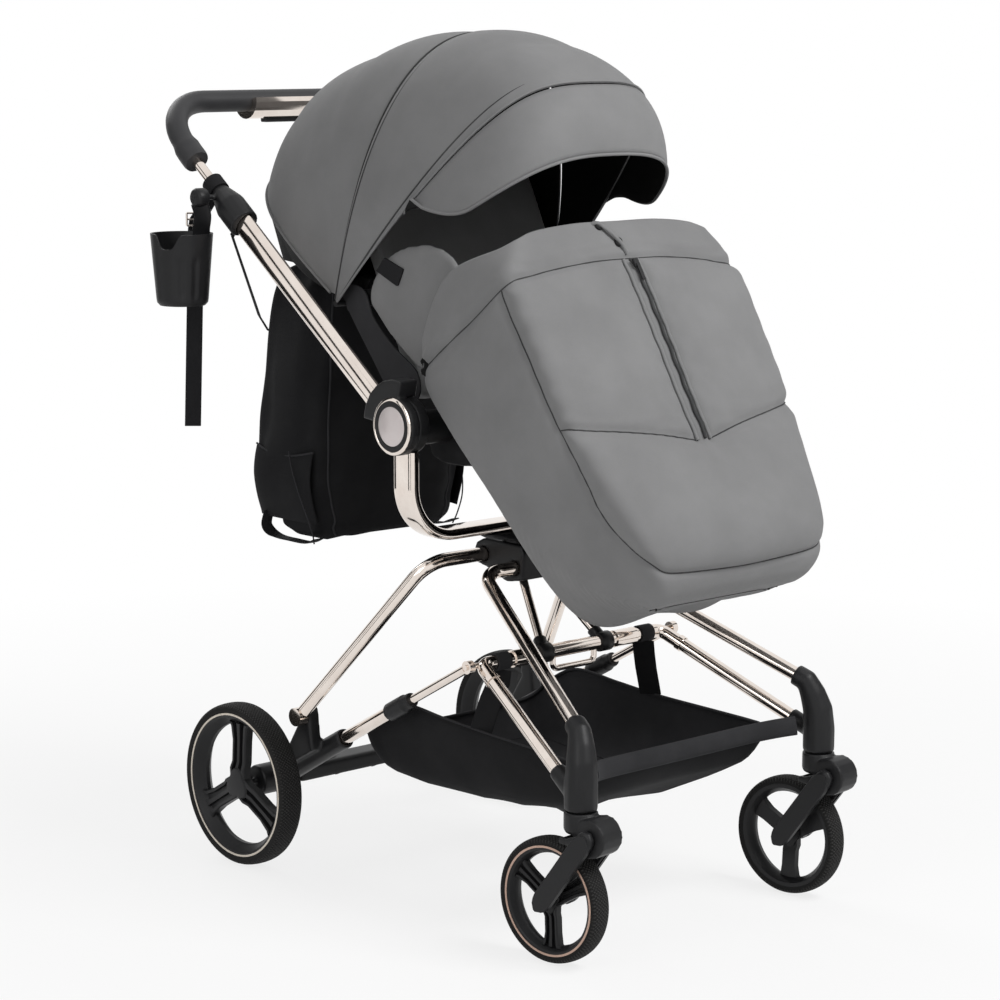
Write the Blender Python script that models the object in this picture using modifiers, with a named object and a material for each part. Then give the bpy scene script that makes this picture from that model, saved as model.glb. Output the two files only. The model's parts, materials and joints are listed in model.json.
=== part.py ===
"""Two-in-one pram with a swivelling seat bow, a folding chassis and a hanging changing bag.

Metres, +Z up. The pram faces -Y, its handle is at +Y, and its left side is +X. While it is built,
Y = 0 lies on the front caster axes and Z = 0 on the ground; at the end the whole assembly is moved
so that the origin is the middle of its footprint.
"""

import bpy
import bmesh
import math
from mathutils import Matrix, Vector

for old in list(bpy.data.objects):
    bpy.data.objects.remove(old, do_unlink=True)

PARTS = bpy.data.collections.new("two_in_one_pram")
CUTTERS = bpy.data.collections.new("cutters")
bpy.context.scene.collection.children.link(PARTS)
bpy.context.scene.collection.children.link(CUTTERS)

# Clearances
SEAT_GAP = 0.0003
RUN_GAP = 0.0006
SIDE_GAP = 0.002
MERGE = 0.00001

# Wheels
REAR_RADIUS = 0.120
REAR_TYRE_WIDTH = 0.042
REAR_TYRE_HEIGHT = 0.014
REAR_TRACK = 0.5352
REAR_AXLE_Y = 0.678
FRONT_RADIUS = 0.085
FRONT_TYRE_WIDTH = 0.034
FRONT_TYRE_HEIGHT = 0.011
CASTER_SPREAD = 0.462
CASTER_TRAIL = 0.045
CASTER_STEER = math.radians(6.0)
AXLE_RADIUS = 0.004
HUB_RADIUS = 0.019
SPOKES = 3
WHEEL_STEPS = 24
SPOKE_WIDTH = 0.017
RIM_WALL = 0.003

# Casters
GROOVE_Z = 0.2135
STEM_RADIUS = 0.0228
STEM_LENGTH = 0.029
KNEE_Y = -0.029
KNEE_Z = 0.184
KNEE_RADIUS = 0.026
ARM_HALF_WIDTH = 0.0130
ARM_THICKNESS = 0.009
ARM_PANEL = 0.002
FORK_PIN = 0.005

# Frame tubes
LEG_RADIUS = 0.010
DIAGONAL_RADIUS = 0.010
CROSSBAR_RADIUS = 0.010
SLIDE_RADIUS = 0.0065
LOWER_WALL = 0.0028
STRUT_RADIUS = 0.0065
LEG_BEND = 0.045
ELBOW_TOP = Vector((0.2165, 0.024, 0.319))
ELBOW_END_RADIUS = 0.0155
DIAGONAL_PIN = Vector((0.2276, 0.044, 0.254))
FRONT_BAR = Vector((0.103, 0.335, 0.462))
REAR_BAR = Vector((0.150, 0.400, 0.474))
REAR_PIVOT = Vector((0.235, 0.583, 0.233))
CROSSBAR_CORNER = Vector((0.174, 0.258, 0.355))
CROSSBAR_BEND = 0.018
COLLAR_SPAN = (0.034, 0.042)
COLLAR_HEIGHT = 0.0016
SLEEVE_RADIUS = 0.0122
SLEEVE_SPAN = (0.078, 0.118)
CLIP_X = 0.058
CLIP_LENGTH = 0.022
CLIP_WALL = 0.0042
LOOP_RADIUS = 0.0045
LOOP_HALF_WIDTH = 0.040
LOOP_DROP = 0.026
LINK_X = 0.197
LINK_PIN = 0.004
CLAMP_START = 0.137
LOWER_START = 0.184
LOWER_END = 0.306
SOCKET_DEPTH = 0.020
SLIDE_LENGTH = 0.260
FOLD_SLIDE = 0.0965
CLAMP_RADIUS = 0.0132
HOUSING_RADIUS = 0.0155
HOUSING_FLARE = 1.12
AXLE_BOSS_RADIUS = 0.023
LEG_EYE_RADIUS = 0.0135
LEG_EYE_PLAY = 0.0042
LEG_END_SHORT = 0.0106
LEG_RELIEF = 0.061
BEAM_WIDTH = 0.044
BEAM_HEIGHT = 0.026
BEAM_RIBS = 5

# Hub, turntable and seat bow
CENTRE_Y = 0.340
HUB_HALF_WIDTH = 0.044
HUB_TOP = 0.497
DISC_RADIUS = 0.046
SPIGOT_RADIUS = 0.012
SPIGOT_DEPTH = 0.020
COVER_HALF_LENGTH = 0.108
CRADLE_RISE = 0.030
BOW_Z = HUB_TOP + CRADLE_RISE
BOW_X = 0.238
BOW_BEND = 0.072
BOW_BAND = 0.043
BOW_THICKNESS = 0.016
PIVOT_Z = 0.684
HOUSING_INNER_X = 0.2285
KNUCKLE_INNER_X = 0.2468
KNUCKLE_OUTER_X = 0.262
PIVOT_RADIUS = 0.0395
PIVOT_PIN = 0.010
KNUCKLE_REACH = 0.064
KNUCKLE_ARC = (4.0, 104.0)
COVER_RADIUS = 0.0335
COVER_HEIGHT = 0.004

# Handle
HANDLE_X = 0.2452
HANDLE_FOOT = (0.392, 0.713)
HANDLE_TOP = (0.706, 0.951)
HANDLE_DEPTH = 0.036
HANDLE_THICKNESS = 0.021
HANDLE_WALL = 0.0018
COUPLER_TOP = 0.074
COUPLER_OVERLAP = 0.022
COUPLER_RADIUS = 0.0225
COUPLER_NECK = 0.0135
INNER_TUBE_RADIUS = 0.0078
INNER_TUBE_OVERLAP = 0.110
GRIP_START = 0.118
TELESCOPE = 0.042
GRIP_RADIUS = 0.0165
GRIP_COLLAR = 0.0195
GRIP_BEND_START = 0.138
HANDLE_BAR = (0.894, 1.106)
BAR_BEND = 0.082
BUTTON_HOUSING_HALF = 0.085
BUTTON_HOUSING_WALL = 0.011
BUTTON_HALF_LENGTH = 0.052
BUTTON_TRAVEL = 0.003

# Seat, backrest and footmuff
PAN_HALF_WIDTH = 0.178
PAN_FRONT_Y = 0.165
PAN_REAR_Y = 0.376
PAN_TOP = 0.682
PAN_DEPTH = 0.060
PAN_BOTTOM = PAN_TOP - PAN_DEPTH
SEAT_BOSS_RADIUS = 0.024
SEAT_BOSS = (CENTRE_Y, PIVOT_Z - 0.006)
RECLINE_AXIS = (0.404, 0.716)
BACKREST_LEAN = math.radians(26.5)
BACKREST_LENGTH = 0.345
BACKREST_THICKNESS = 0.034
BACKREST_HALF_WIDTH = 0.170
RECLINE_PIN = 0.005
EAR_THICKNESS = 0.008
BUMPER_RADIUS = 0.011
BUMPER_TOP = (0.228, 0.878)
BUMPER_FOOT = (0.3248, 0.6866)
BUMPER_X = 0.180
BUMPER_BEND = 0.045
MUFF_WALL = 0.010
MUFF_HEM = 0.018
ZIP_TOP = (0.149, 0.914)
ZIP_BOTTOM = (0.008, 0.681)
TRACK_WIDTH = 0.016
TRACK_HEIGHT = 0.020
SLIDER_SIZE = (0.010, 0.013, 0.004)

# Canopy
CANOPY_HINGE = (0.530, 0.833)
CANOPY_WALL = 0.002
REAR_ANGLES = (24.0, 50.0, 77.0, 102.0)
REAR_RADII = (0.318, 0.335, 0.362, 0.380)
REAR_HALF_WIDTH = 0.198
FRONT_ANGLES = (103.5, 119.0, 134.7)
FRONT_RADII = (0.392, 0.414, 0.437)
FRONT_HALF_WIDTH = 0.207
VISOR_ANGLES = (134.95, 141.0, 146.5)
VISOR_RADII = (0.437, 0.424, 0.3955)
VISOR_HALF_WIDTHS = (0.207, 0.209, 0.211)
RIB_FULLNESS = 0.9
RIB_ROUNDNESS = 0.62
CANOPY_HUB_RADIUS = 0.020
CANOPY_HUB_THICKNESS = 0.003

# Basket
BASKET_WALL = 0.0025
BASKET_BOTTOM = 0.150
BASKET_INSET = 0.034
BASKET_LOOP = (0.128, 0.150)
BASKET_LOOP_WALL = 0.002
BASKET_TAB = (0.030, 0.003, 0.045)
BASKET_TAB_DROP = 0.031
BASKET_BELLY = (0.5, 0.012)

# Bag
BAG_HALF_WIDTH = 0.140
BAG_FRONT_Y = 0.645
BAG_REAR_Y = 0.808
BAG_BOTTOM = 0.478
BAG_TOP = 0.862
BAG_STRAP_END = (0.2195, 0.712, 0.955)

# Cup holder and wrist strap
CUP_TOP_RADIUS = 0.040
CUP_BOTTOM_RADIUS = 0.031
CUP_HEIGHT = 0.098
CUP_WALL = 0.0025
CUP_AXIS = (-0.300, 0.768)
CUP_BASE_Z = 0.822
CUP_PIN = 0.004
STRAP_WIDTH = 0.024
STRAP_THICKNESS = 0.002
STRAP_TAIL_Y = 0.805
STRAP_END_Z = 0.634


# Materials

def material(name, colour, roughness, metallic=0.0):
    made = bpy.data.materials.new(name)
    made.use_nodes = True
    shader = made.node_tree.nodes["Principled BSDF"]
    shader.inputs["Base Color"].default_value = (*colour, 1.0)
    shader.inputs["Roughness"].default_value = roughness
    shader.inputs["Metallic"].default_value = metallic
    made.diffuse_color = (*colour, 1.0)
    return made


CHROME = material("rose_chrome", (0.72, 0.66, 0.61), 0.12, 1.0)
BLACK = material("black_plastic", (0.035, 0.035, 0.037), 0.5)
RUBBER = material("tyre_rubber", (0.045, 0.045, 0.045), 0.8)
LEATHER = material("black_leatherette", (0.05, 0.05, 0.052), 0.6)
GREY = material("grey_fabric", (0.27, 0.27, 0.27), 0.85)
SLATE = material("slate_fabric", (0.07, 0.07, 0.075), 0.9)
CLOTH = material("black_fabric", (0.02, 0.02, 0.021), 0.95)
PEARL = material("pearl_cover", (0.80, 0.74, 0.72), 0.35, 0.3)
STEEL = material("spring_steel", (0.6, 0.6, 0.6), 0.3, 1.0)


# Carriers: empties at the joint axes. A carrier's datum is the point that its pieces' coordinates
# are taken from, so that pieces stay written in pram coordinates.

DATUM = {}


def carrier(name, at, parent=None, turn=0.0, own_frame=False):
    spot = bpy.data.objects.new(name, None)
    spot.empty_display_size = 0.03
    PARTS.objects.link(spot)
    at = Vector(at)
    spot.location = at
    if parent is not None:
        spot.parent = parent
        spot.location = at - DATUM[parent.name]
    spot.rotation_euler = (0.0, 0.0, turn)
    DATUM[name] = Vector((0.0, 0.0, 0.0)) if own_frame else at
    return spot


def place(piece, holder, at=(0.0, 0.0, 0.0), collection=PARTS):
    collection.objects.link(piece)
    piece.parent = holder
    piece.location = Vector(at) - DATUM[holder.name]
    return piece


def finish(piece, surface, angle=35.0):
    piece.data.materials.append(surface)
    if piece.type == "MESH":
        piece.data.shade_smooth()
        piece.data.set_sharp_from_angle(angle=math.radians(angle))
    return piece


# Modelling helpers

def aim(axis):
    """Rotation that carries local Z onto an axis."""
    return Vector((0.0, 0.0, 1.0)).rotation_difference(Vector(axis)).to_euler()


def rounded(corners, bends, steps=4):
    """A route through corner points, each inner corner eased into an arc of the given radius."""
    corners = [Vector(c) for c in corners]
    if not isinstance(bends, (list, tuple)):
        bends = [bends] * (len(corners) - 2)
    points = [corners[0]]
    for before, corner, after, bend in zip(corners, corners[1:], corners[2:], bends):
        back = (before - corner).normalized()
        ahead = (after - corner).normalized()
        half = back.angle(ahead) / 2
        start = corner + back * bend / math.tan(half)
        end = corner + ahead * bend / math.tan(half)
        centre = corner + (back + ahead).normalized() * bend / math.sin(half)
        for step in range(steps + 1):
            spoke = (start - centre).normalized().slerp((end - centre).normalized(), step / steps)
            points.append(centre + spoke * bend)
    points.append(corners[-1])
    return points


def mirrored_x(points):
    return [Vector((-p[0], p[1], p[2])) for p in points]


def there_and_back(points):
    """A symmetric route: the left half, then its mirror image."""
    return list(points) + mirrored_x(reversed(points))


def tube(name, points, radius, surface, holder, sides=8, swell=None):
    """A bent tube: a curve with a round section and closed ends."""
    curve = bpy.data.curves.new(name, "CURVE")
    curve.dimensions = "3D"
    curve.bevel_depth = radius
    curve.bevel_resolution = (sides - 4) // 2
    curve.use_fill_caps = True
    spline = curve.splines.new("POLY")
    spline.points.add(len(points) - 1)
    for knot, point in zip(spline.points, points):
        knot.co = (*point, 1.0)
    if swell is not None:
        for knot, share in zip(spline.points, swell):
            knot.radius = share
    spline.use_smooth = True
    curve.materials.append(surface)
    return place(bpy.data.objects.new(name, curve), holder)


def solid(piece):
    """The mesh of a curve piece, with its caps welded on."""
    bpy.context.view_layer.update()
    graph = bpy.context.evaluated_depsgraph_get()
    data = bpy.data.meshes.new_from_object(piece.evaluated_get(graph))
    shape = bmesh.new()
    shape.from_mesh(data)
    bmesh.ops.remove_doubles(shape, verts=shape.verts, dist=MERGE)
    bmesh.ops.recalc_face_normals(shape, faces=shape.faces)
    shape.to_mesh(data)
    shape.free()
    name = piece.name
    holder = piece.parent
    spot = piece.location.copy()
    turn = piece.rotation_euler.copy()
    surface = piece.data.materials[0]
    collection = piece.users_collection[0]
    bpy.data.objects.remove(piece, do_unlink=True)
    made = bpy.data.objects.new(name, data)
    data.materials.clear()
    collection.objects.link(made)
    made.parent = holder
    made.location = spot
    made.rotation_euler = turn
    return finish(made, surface)


def turned(name, profile, surface, holder, at, axis=(0.0, 0.0, 1.0), steps=16, closed=False):
    """A turned piece: a profile of radius and height, top to bottom, spun about its own Z."""
    data = bpy.data.meshes.new(name)
    links = [(i, i + 1) for i in range(len(profile) - 1)]
    if closed:
        links.append((len(profile) - 1, 0))
    data.from_pydata([(r, 0.0, z) for r, z in profile], links, [])
    piece = place(bpy.data.objects.new(name, data), holder, at)
    piece.rotation_euler = aim(axis)
    spin = piece.modifiers.new("Spin", "SCREW")
    spin.steps = steps
    spin.render_steps = steps
    spin.use_merge_vertices = True
    spin.merge_threshold = MERGE
    spin.use_smooth_shade = True
    data.materials.append(surface)
    return piece


def side_plate(name, outline, thickness, surface, holder, at):
    """A plate whose outline is drawn in the side view (Y, Z) and whose thickness runs along X."""
    curve = bpy.data.curves.new(name, "CURVE")
    curve.dimensions = "2D"
    curve.fill_mode = "BOTH"
    curve.extrude = thickness / 2
    spline = curve.splines.new("POLY")
    spline.points.add(len(outline) - 1)
    spline.use_cyclic_u = True
    for knot, (y, z) in zip(spline.points, outline):
        knot.co = (y, z, 0.0, 1.0)
    curve.materials.append(surface)
    piece = place(bpy.data.objects.new(name, curve), holder, at)
    piece.rotation_euler = Matrix(((0, 0, 1), (1, 0, 0), (0, 1, 0))).to_euler()
    return piece


def block(name, size, surface, holder, at, bevel=0.0, turn=(0.0, 0.0, 0.0)):
    """A rectangular piece with rounded edges."""
    data = bpy.data.meshes.new(name)
    shape = bmesh.new()
    bmesh.ops.create_cube(shape, size=1.0)
    bmesh.ops.scale(shape, vec=Vector(size), verts=shape.verts)
    shape.to_mesh(data)
    shape.free()
    piece = finish(place(bpy.data.objects.new(name, data), holder, at), surface)
    piece.rotation_euler = turn
    if bevel > 0.0:
        edge = piece.modifiers.new("Edges", "BEVEL")
        edge.width = bevel
        edge.segments = 1
        edge.limit_method = "ANGLE"
    return piece


def skin(name, rows, surface, holder, wall, rise=0, closed=False, capped=False, side=-1.0):
    """A shell: a sheet through rows of points, its last row capped if asked, thickened to one side."""
    data = bpy.data.meshes.new(name)
    shape = bmesh.new()
    grid = [[shape.verts.new(p) for p in row] for row in rows]
    across = len(rows[0])
    for upper, lower in zip(grid, grid[1:]):
        for i in range(across if closed else across - 1):
            j = (i + 1) % across
            shape.faces.new((upper[i], lower[i], lower[j], upper[j]))
    if capped:
        shape.faces.new(grid[-1])
    bmesh.ops.remove_doubles(shape, verts=shape.verts, dist=MERGE)
    bmesh.ops.recalc_face_normals(shape, faces=shape.faces)
    shape.to_mesh(data)
    shape.free()
    piece = finish(place(bpy.data.objects.new(name, data), holder), surface, 60.0)
    thick = piece.modifiers.new("Wall", "SOLIDIFY")
    thick.thickness = wall
    thick.offset = side
    if rise > 0:
        smooth = piece.modifiers.new("Smooth", "SUBSURF")
        smooth.levels = rise
        smooth.render_levels = rise
    return piece


def loft(name, rings, surface, holder, rise=0):
    """A closed body through rings of points, capped at both ends."""
    data = bpy.data.meshes.new(name)
    shape = bmesh.new()
    loops = [[shape.verts.new(p) for p in ring] for ring in rings]
    count = len(rings[0])
    for upper, lower in zip(loops, loops[1:]):
        for i in range(count):
            j = (i + 1) % count
            shape.faces.new((upper[i], upper[j], lower[j], lower[i]))
    shape.faces.new(loops[0])
    shape.faces.new(list(reversed(loops[-1])))
    bmesh.ops.recalc_face_normals(shape, faces=shape.faces)
    shape.to_mesh(data)
    shape.free()
    piece = finish(place(bpy.data.objects.new(name, data), holder), surface)
    if rise > 0:
        smooth = piece.modifiers.new("Smooth", "SUBSURF")
        smooth.levels = rise
        smooth.render_levels = rise
    return piece


def tool(piece):
    """Turns a piece into a hidden cutter or joining body."""
    piece.hide_render = True
    piece.display_type = "WIRE"
    for collection in list(piece.users_collection):
        collection.objects.unlink(piece)
    CUTTERS.objects.link(piece)
    return piece


def combine(piece, other, operation):
    step = piece.modifiers.new(operation.title(), "BOOLEAN")
    step.operation = operation
    step.solver = "EXACT"
    step.object = tool(other)
    return piece


def join(piece, *others):
    for other in others:
        combine(piece, other, "UNION")
    return piece


def cut(piece, *others):
    for other in others:
        combine(piece, other, "DIFFERENCE")
    return piece


def rod(name, start, end, radius, surface, holder, steps=10):
    """A straight round rod between two points."""
    start = Vector(start)
    end = Vector(end)
    length = (end - start).length
    return turned(name, [(0.0, length), (radius, length), (radius, 0.0), (0.0, 0.0)],
                  surface, holder, start, end - start, steps)


def side(name, left):
    return name + ("_left" if left else "_right")


def flip(point, left):
    return Vector((point[0] if left else -point[0], point[1], point[2]))


# Carriers of the whole pram

PRAM = carrier("pram_origin", (0.0, 0.0, 0.0))

LINK_START = Vector((0.0, CROSSBAR_CORNER.y, CROSSBAR_CORNER.z))
REAR_AXLE = Vector((0.0, REAR_AXLE_Y, REAR_RADIUS))
LINK_LINE = (REAR_AXLE - LINK_START).normalized()
LINKS = carrier("lower_links_axis", LINK_START, PRAM)
REAR = carrier("rear_carriage_axis", LINK_START, LINKS)
REAR_LEGS = carrier("rear_legs_axis", (0.0, REAR_BAR.y, REAR_BAR.z), PRAM)
SEAT_UNIT = carrier("seat_unit_axis", (0.0, CENTRE_Y, HUB_TOP), PRAM)
PIVOT = (CENTRE_Y, PIVOT_Z)
HANDLE = carrier("handle_axis", (0.0, *PIVOT), SEAT_UNIT)
BACKREST = carrier("backrest_axis", (0.0, *RECLINE_AXIS), SEAT_UNIT)


# Wheels. The rim is a barrel with three grooved spokes, the tyre is pressed round it.

def wheel(prefix, left, holder, centre, axis, radius, tyre_width, tyre_height, through):
    out = Vector(axis) if left else -Vector(axis)
    seat = radius - tyre_height
    half = tyre_width / 2
    shoulder = half * 0.62
    tyre = [(radius, half * 0.4), (radius, -half * 0.4), (seat + tyre_height * 0.5, -half),
            (seat + SEAT_GAP, -shoulder), (seat + SEAT_GAP, shoulder), (seat + tyre_height * 0.5, half)]
    turned(side(prefix + "_tyre", left), tyre, RUBBER, holder, centre, out, WHEEL_STEPS, closed=True)
    barrel = seat - radius * 0.135
    lip = seat - RIM_WALL
    rim = [(seat, shoulder), (seat, -shoulder), (lip, -shoulder), (barrel, -half * 0.25),
           (barrel, half * 0.2), (lip, shoulder)]
    body = turned(side(prefix + "_rim", left), rim, BLACK, holder, centre, out, WHEEL_STEPS, closed=True)
    hub_depth = half * 0.9
    hub = turned("hub_body", [(0.0, half * 0.55), (HUB_RADIUS * 0.9, half * 0.55),
                              (HUB_RADIUS, half * 0.3), (HUB_RADIUS, -hub_depth), (0.0, -hub_depth)],
                 BLACK, holder, centre, out, 12)
    facing = aim(out)
    for number in range(SPOKES):
        angle = 2 * math.pi * number / SPOKES + math.pi / 2
        reach = barrel + RIM_WALL * 0.6
        direction = Vector((math.cos(angle), math.sin(angle), 0.0))
        depth = half * 0.62
        spoke = block("spoke", (reach, SPOKE_WIDTH, depth), BLACK, holder, centre)
        turn = facing.to_matrix() @ Matrix.Rotation(angle, 3, "Z")
        spoke.rotation_euler = turn.to_euler()
        spoke.location += facing.to_matrix() @ (direction * reach / 2)
        join(body, spoke)
        groove_length = reach - HUB_RADIUS - RIM_WALL
        groove = block("groove", (groove_length, SPOKE_WIDTH * 0.22, depth * 0.5), BLACK, holder, centre)
        groove.rotation_euler = turn.to_euler()
        middle = HUB_RADIUS + groove_length / 2
        groove.location += facing.to_matrix() @ (direction * middle + Vector((0.0, 0.0, depth * 0.45)))
        cut(body, groove)
    join(body, hub)
    bore_end = half + 0.01 if through else SEAT_GAP
    bore = rod("axle_bore", Vector(centre) - out * (half + 0.01), Vector(centre) + out * bore_end,
               AXLE_RADIUS + SEAT_GAP, BLACK, holder, 12)
    return cut(body, bore)


# Rear carriage: housings, telescoping lower tubes, axle beam, brake pedal

def on_link(distance, left, x=LINK_X):
    point = LINK_START + LINK_LINE * distance
    return flip((x, point.y, point.z), left)


AXLE_DISTANCE = (REAR_AXLE - LINK_START).length
WHEEL_X = REAR_TRACK / 2
WHEEL_INNER = WHEEL_X - REAR_TYRE_WIDTH / 2
LEG_EYE_LENGTH = 0.011
LEG_EYE_X = REAR_PIVOT.x
SLIDE_BORE = SLIDE_RADIUS + RUN_GAP
LOWER_RADIUS = SLIDE_BORE + LOWER_WALL

for left in (True, False):
    spin = carrier(side("rear_wheel_axis", left), flip((WHEEL_X, REAR_AXLE.y, REAR_AXLE.z), left), REAR)
    wheel("rear", left, spin, flip((WHEEL_X, REAR_AXLE.y, REAR_AXLE.z), left), (1.0, 0.0, 0.0),
          REAR_RADIUS, REAR_TYRE_WIDTH, REAR_TYRE_HEIGHT, False)

    # Thin tube that slides, with an eye round the crossbar's pin
    slide = rod(side("rear_slide_tube", left), on_link(SLIDE_RADIUS, left), on_link(SLIDE_LENGTH, left),
                SLIDE_RADIUS, CHROME, LINKS, 12)
    eye = rod("slide_eye", flip((LINK_X - 0.0048, LINK_START.y, LINK_START.z), left),
              flip((LINK_X + 0.0048, LINK_START.y, LINK_START.z), left), 0.0092, CHROME, LINKS, 12)
    eye_bore = rod("slide_eye_bore", flip((LINK_X - 0.02, LINK_START.y, LINK_START.z), left),
                   flip((LINK_X + 0.02, LINK_START.y, LINK_START.z), left),
                   LINK_PIN + SEAT_GAP, CHROME, LINKS, 12)
    cut(join(slide, eye), eye_bore)

    # Thick lower tube with the clamp moulded on its front end, and the housing that carries the axle
    length = LOWER_END + SOCKET_DEPTH - CLAMP_START
    neck = LOWER_START + 0.008 - CLAMP_START
    turned(side("rear_lower_tube", left),
           [(LOWER_RADIUS, length), (LOWER_RADIUS, neck), (CLAMP_RADIUS, neck), (CLAMP_RADIUS, 0.014),
            (CLAMP_RADIUS - 0.0025, 0.012), (CLAMP_RADIUS - 0.0025, 0.0), (SLIDE_BORE, 0.0),
            (SLIDE_BORE, length)],
           CHROME, REAR, on_link(CLAMP_START, left), LINK_LINE, 12, closed=True)

    housing = tube(side("rear_housing", left),
                   [on_link(LOWER_END, left), on_link(LOWER_END + 0.05, left),
                    on_link(AXLE_DISTANCE - 0.03, left), on_link(AXLE_DISTANCE, left)],
                   HOUSING_RADIUS, BLACK, REAR, 10, (1.0, 1.0, HOUSING_FLARE, HOUSING_FLARE))
    housing = solid(housing)
    inner_x = LINK_X - 0.020
    boss = rod("axle_boss", flip((inner_x, REAR_AXLE.y, REAR_AXLE.z), left),
               flip((WHEEL_INNER - SIDE_GAP, REAR_AXLE.y, REAR_AXLE.z), left), AXLE_BOSS_RADIUS, BLACK, REAR, 16)
    pin = rod("stub_axle", flip((inner_x + 0.01, REAR_AXLE.y, REAR_AXLE.z), left),
              flip((WHEEL_X, REAR_AXLE.y, REAR_AXLE.z), left), AXLE_RADIUS, BLACK, REAR, 12)
    post_outline = []
    for step in range(9):
        angle = math.radians(-40 + 180 * step / 8)
        post_outline.append((REAR_PIVOT.y + 0.0145 * math.cos(angle), REAR_PIVOT.z + 0.0145 * math.sin(angle)))
    foot_front = on_link(LOWER_END + 0.045, left)
    foot_rear = on_link(AXLE_DISTANCE - 0.030, left)
    post_outline += [(foot_front.y, foot_front.z), (foot_rear.y, foot_rear.z)]
    post_outer = LEG_EYE_X - LEG_EYE_LENGTH / 2 - RUN_GAP
    post_inner = post_outer - 0.020
    post = side_plate("leg_post", post_outline, post_outer - post_inner, BLACK, REAR,
                      flip(((post_outer + post_inner) / 2, 0.0, 0.0), left))
    leg_pin = rod("leg_pin", flip((post_outer - 0.004, REAR_PIVOT.y, REAR_PIVOT.z), left),
                  flip((LEG_EYE_X + LEG_EYE_LENGTH / 2 + 0.002, REAR_PIVOT.y, REAR_PIVOT.z), left),
                  LINK_PIN, BLACK, REAR, 12)
    join(housing, boss, solid(post), leg_pin, pin)
    socket = rod("tube_socket", on_link(LOWER_END - 0.01, left),
                 on_link(LOWER_END + SOCKET_DEPTH + SEAT_GAP, left), LOWER_RADIUS + SEAT_GAP + 0.0002, BLACK, REAR, 12)
    bore = rod("slide_bore", on_link(LOWER_END, left),
               on_link(SLIDE_LENGTH + FOLD_SLIDE + 0.008, left), SLIDE_BORE, BLACK, REAR, 12)
    cut(housing, socket, bore)

beam_half = LINK_X - 0.020 - SEAT_GAP
beam = block("rear_axle_beam", (2 * beam_half, BEAM_WIDTH, BEAM_HEIGHT), BLACK, REAR, REAR_AXLE, 0.004)
for number in range(BEAM_RIBS):
    spot = (number - (BEAM_RIBS - 1) / 2) * 2 * beam_half / BEAM_RIBS
    pocket = block("beam_pocket", (2 * beam_half / BEAM_RIBS - 0.005, BEAM_WIDTH - 0.010, BEAM_HEIGHT * 0.6),
                   BLACK, REAR, REAR_AXLE + Vector((spot, 0.0, -BEAM_HEIGHT * 0.4)))
    cut(beam, pocket)

PEDAL_AXIS = REAR_AXLE + Vector((0.0, 0.008, BEAM_HEIGHT / 2 + 0.007))
BRAKE = carrier("brake_axis", PEDAL_AXIS, REAR)
pedal_x = -0.120
for offset in (-0.026, 0.026):
    ear = block("pedal_ear", (0.006, 0.012, 0.014), BLACK, REAR,
                PEDAL_AXIS + Vector((pedal_x + offset, 0.0, -0.003)))
    join(beam, ear)
pedal_pin = rod("pedal_pin", PEDAL_AXIS + Vector((pedal_x - 0.026, 0, 0)),
                PEDAL_AXIS + Vector((pedal_x + 0.026, 0, 0)), 0.0022, BLACK, REAR, 10)
join(beam, pedal_pin)
pedal_outline = [(-0.0055, -0.0050), (-0.0055, 0.0045), (-0.001, 0.0060), (0.018, 0.0150), (0.034, 0.0170),
                 (0.040, 0.0120), (0.036, 0.0080), (0.020, 0.0060), (0.0055, -0.0050)]
pedal = side_plate("brake_pedal", [(PEDAL_AXIS.y + y, PEDAL_AXIS.z + z) for y, z in pedal_outline],
                   0.044, BLACK, BRAKE, (pedal_x, 0.0, 0.0))
pedal = solid(pedal)
cut(pedal, rod("pedal_bore", PEDAL_AXIS + Vector((pedal_x - 0.03, 0, 0)),
               PEDAL_AXIS + Vector((pedal_x + 0.03, 0, 0)), 0.0022 + SEAT_GAP, BLACK, BRAKE, 10))

# Rear leg: one bent tube, its low ends pinned to the housings, its top bar turning in the hub
leg_end = REAR_PIVOT - (REAR_PIVOT - REAR_BAR).normalized() * LEG_END_SHORT
legs = solid(tube("rear_leg_tube", there_and_back(rounded(
    [leg_end, REAR_BAR, (0.0, REAR_BAR.y, REAR_BAR.z)], LEG_BEND)[:-1]), LEG_RADIUS, CHROME, REAR_LEGS))
eye_inner = LEG_EYE_X - LEG_EYE_LENGTH / 2
eye_outer = LEG_EYE_X + LEG_RADIUS + SEAT_GAP
for left in (True, False):
    cut(legs, block("leg_end_relief", (0.03, LEG_RELIEF, LEG_RELIEF), CHROME, REAR_LEGS,
                    flip((eye_inner + SEAT_GAP - 0.015, REAR_PIVOT.y, REAR_PIVOT.z), left)))
    join(legs, rod("leg_eye", flip((eye_inner, REAR_PIVOT.y, REAR_PIVOT.z), left),
                   flip((eye_outer, REAR_PIVOT.y, REAR_PIVOT.z), left), LEG_EYE_RADIUS, CHROME, REAR_LEGS, 16))
    cut(legs, rod("leg_eye_bore", flip((eye_inner - 0.01, REAR_PIVOT.y, REAR_PIVOT.z), left),
                  flip((eye_outer + 0.01, REAR_PIVOT.y, REAR_PIVOT.z), left),
                  LINK_PIN + LEG_EYE_PLAY, CHROME, REAR_LEGS, 12))


# Front frame

FRONT_LEG_DIRECTION = (FRONT_BAR - ELBOW_TOP).normalized()
leg_foot = ELBOW_TOP - FRONT_LEG_DIRECTION * 0.012
tube("front_leg_tube", there_and_back(rounded([leg_foot, FRONT_BAR, (0.0, FRONT_BAR.y, FRONT_BAR.z)],
                                              LEG_BEND)[:-1]), LEG_RADIUS, CHROME, PRAM)

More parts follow.
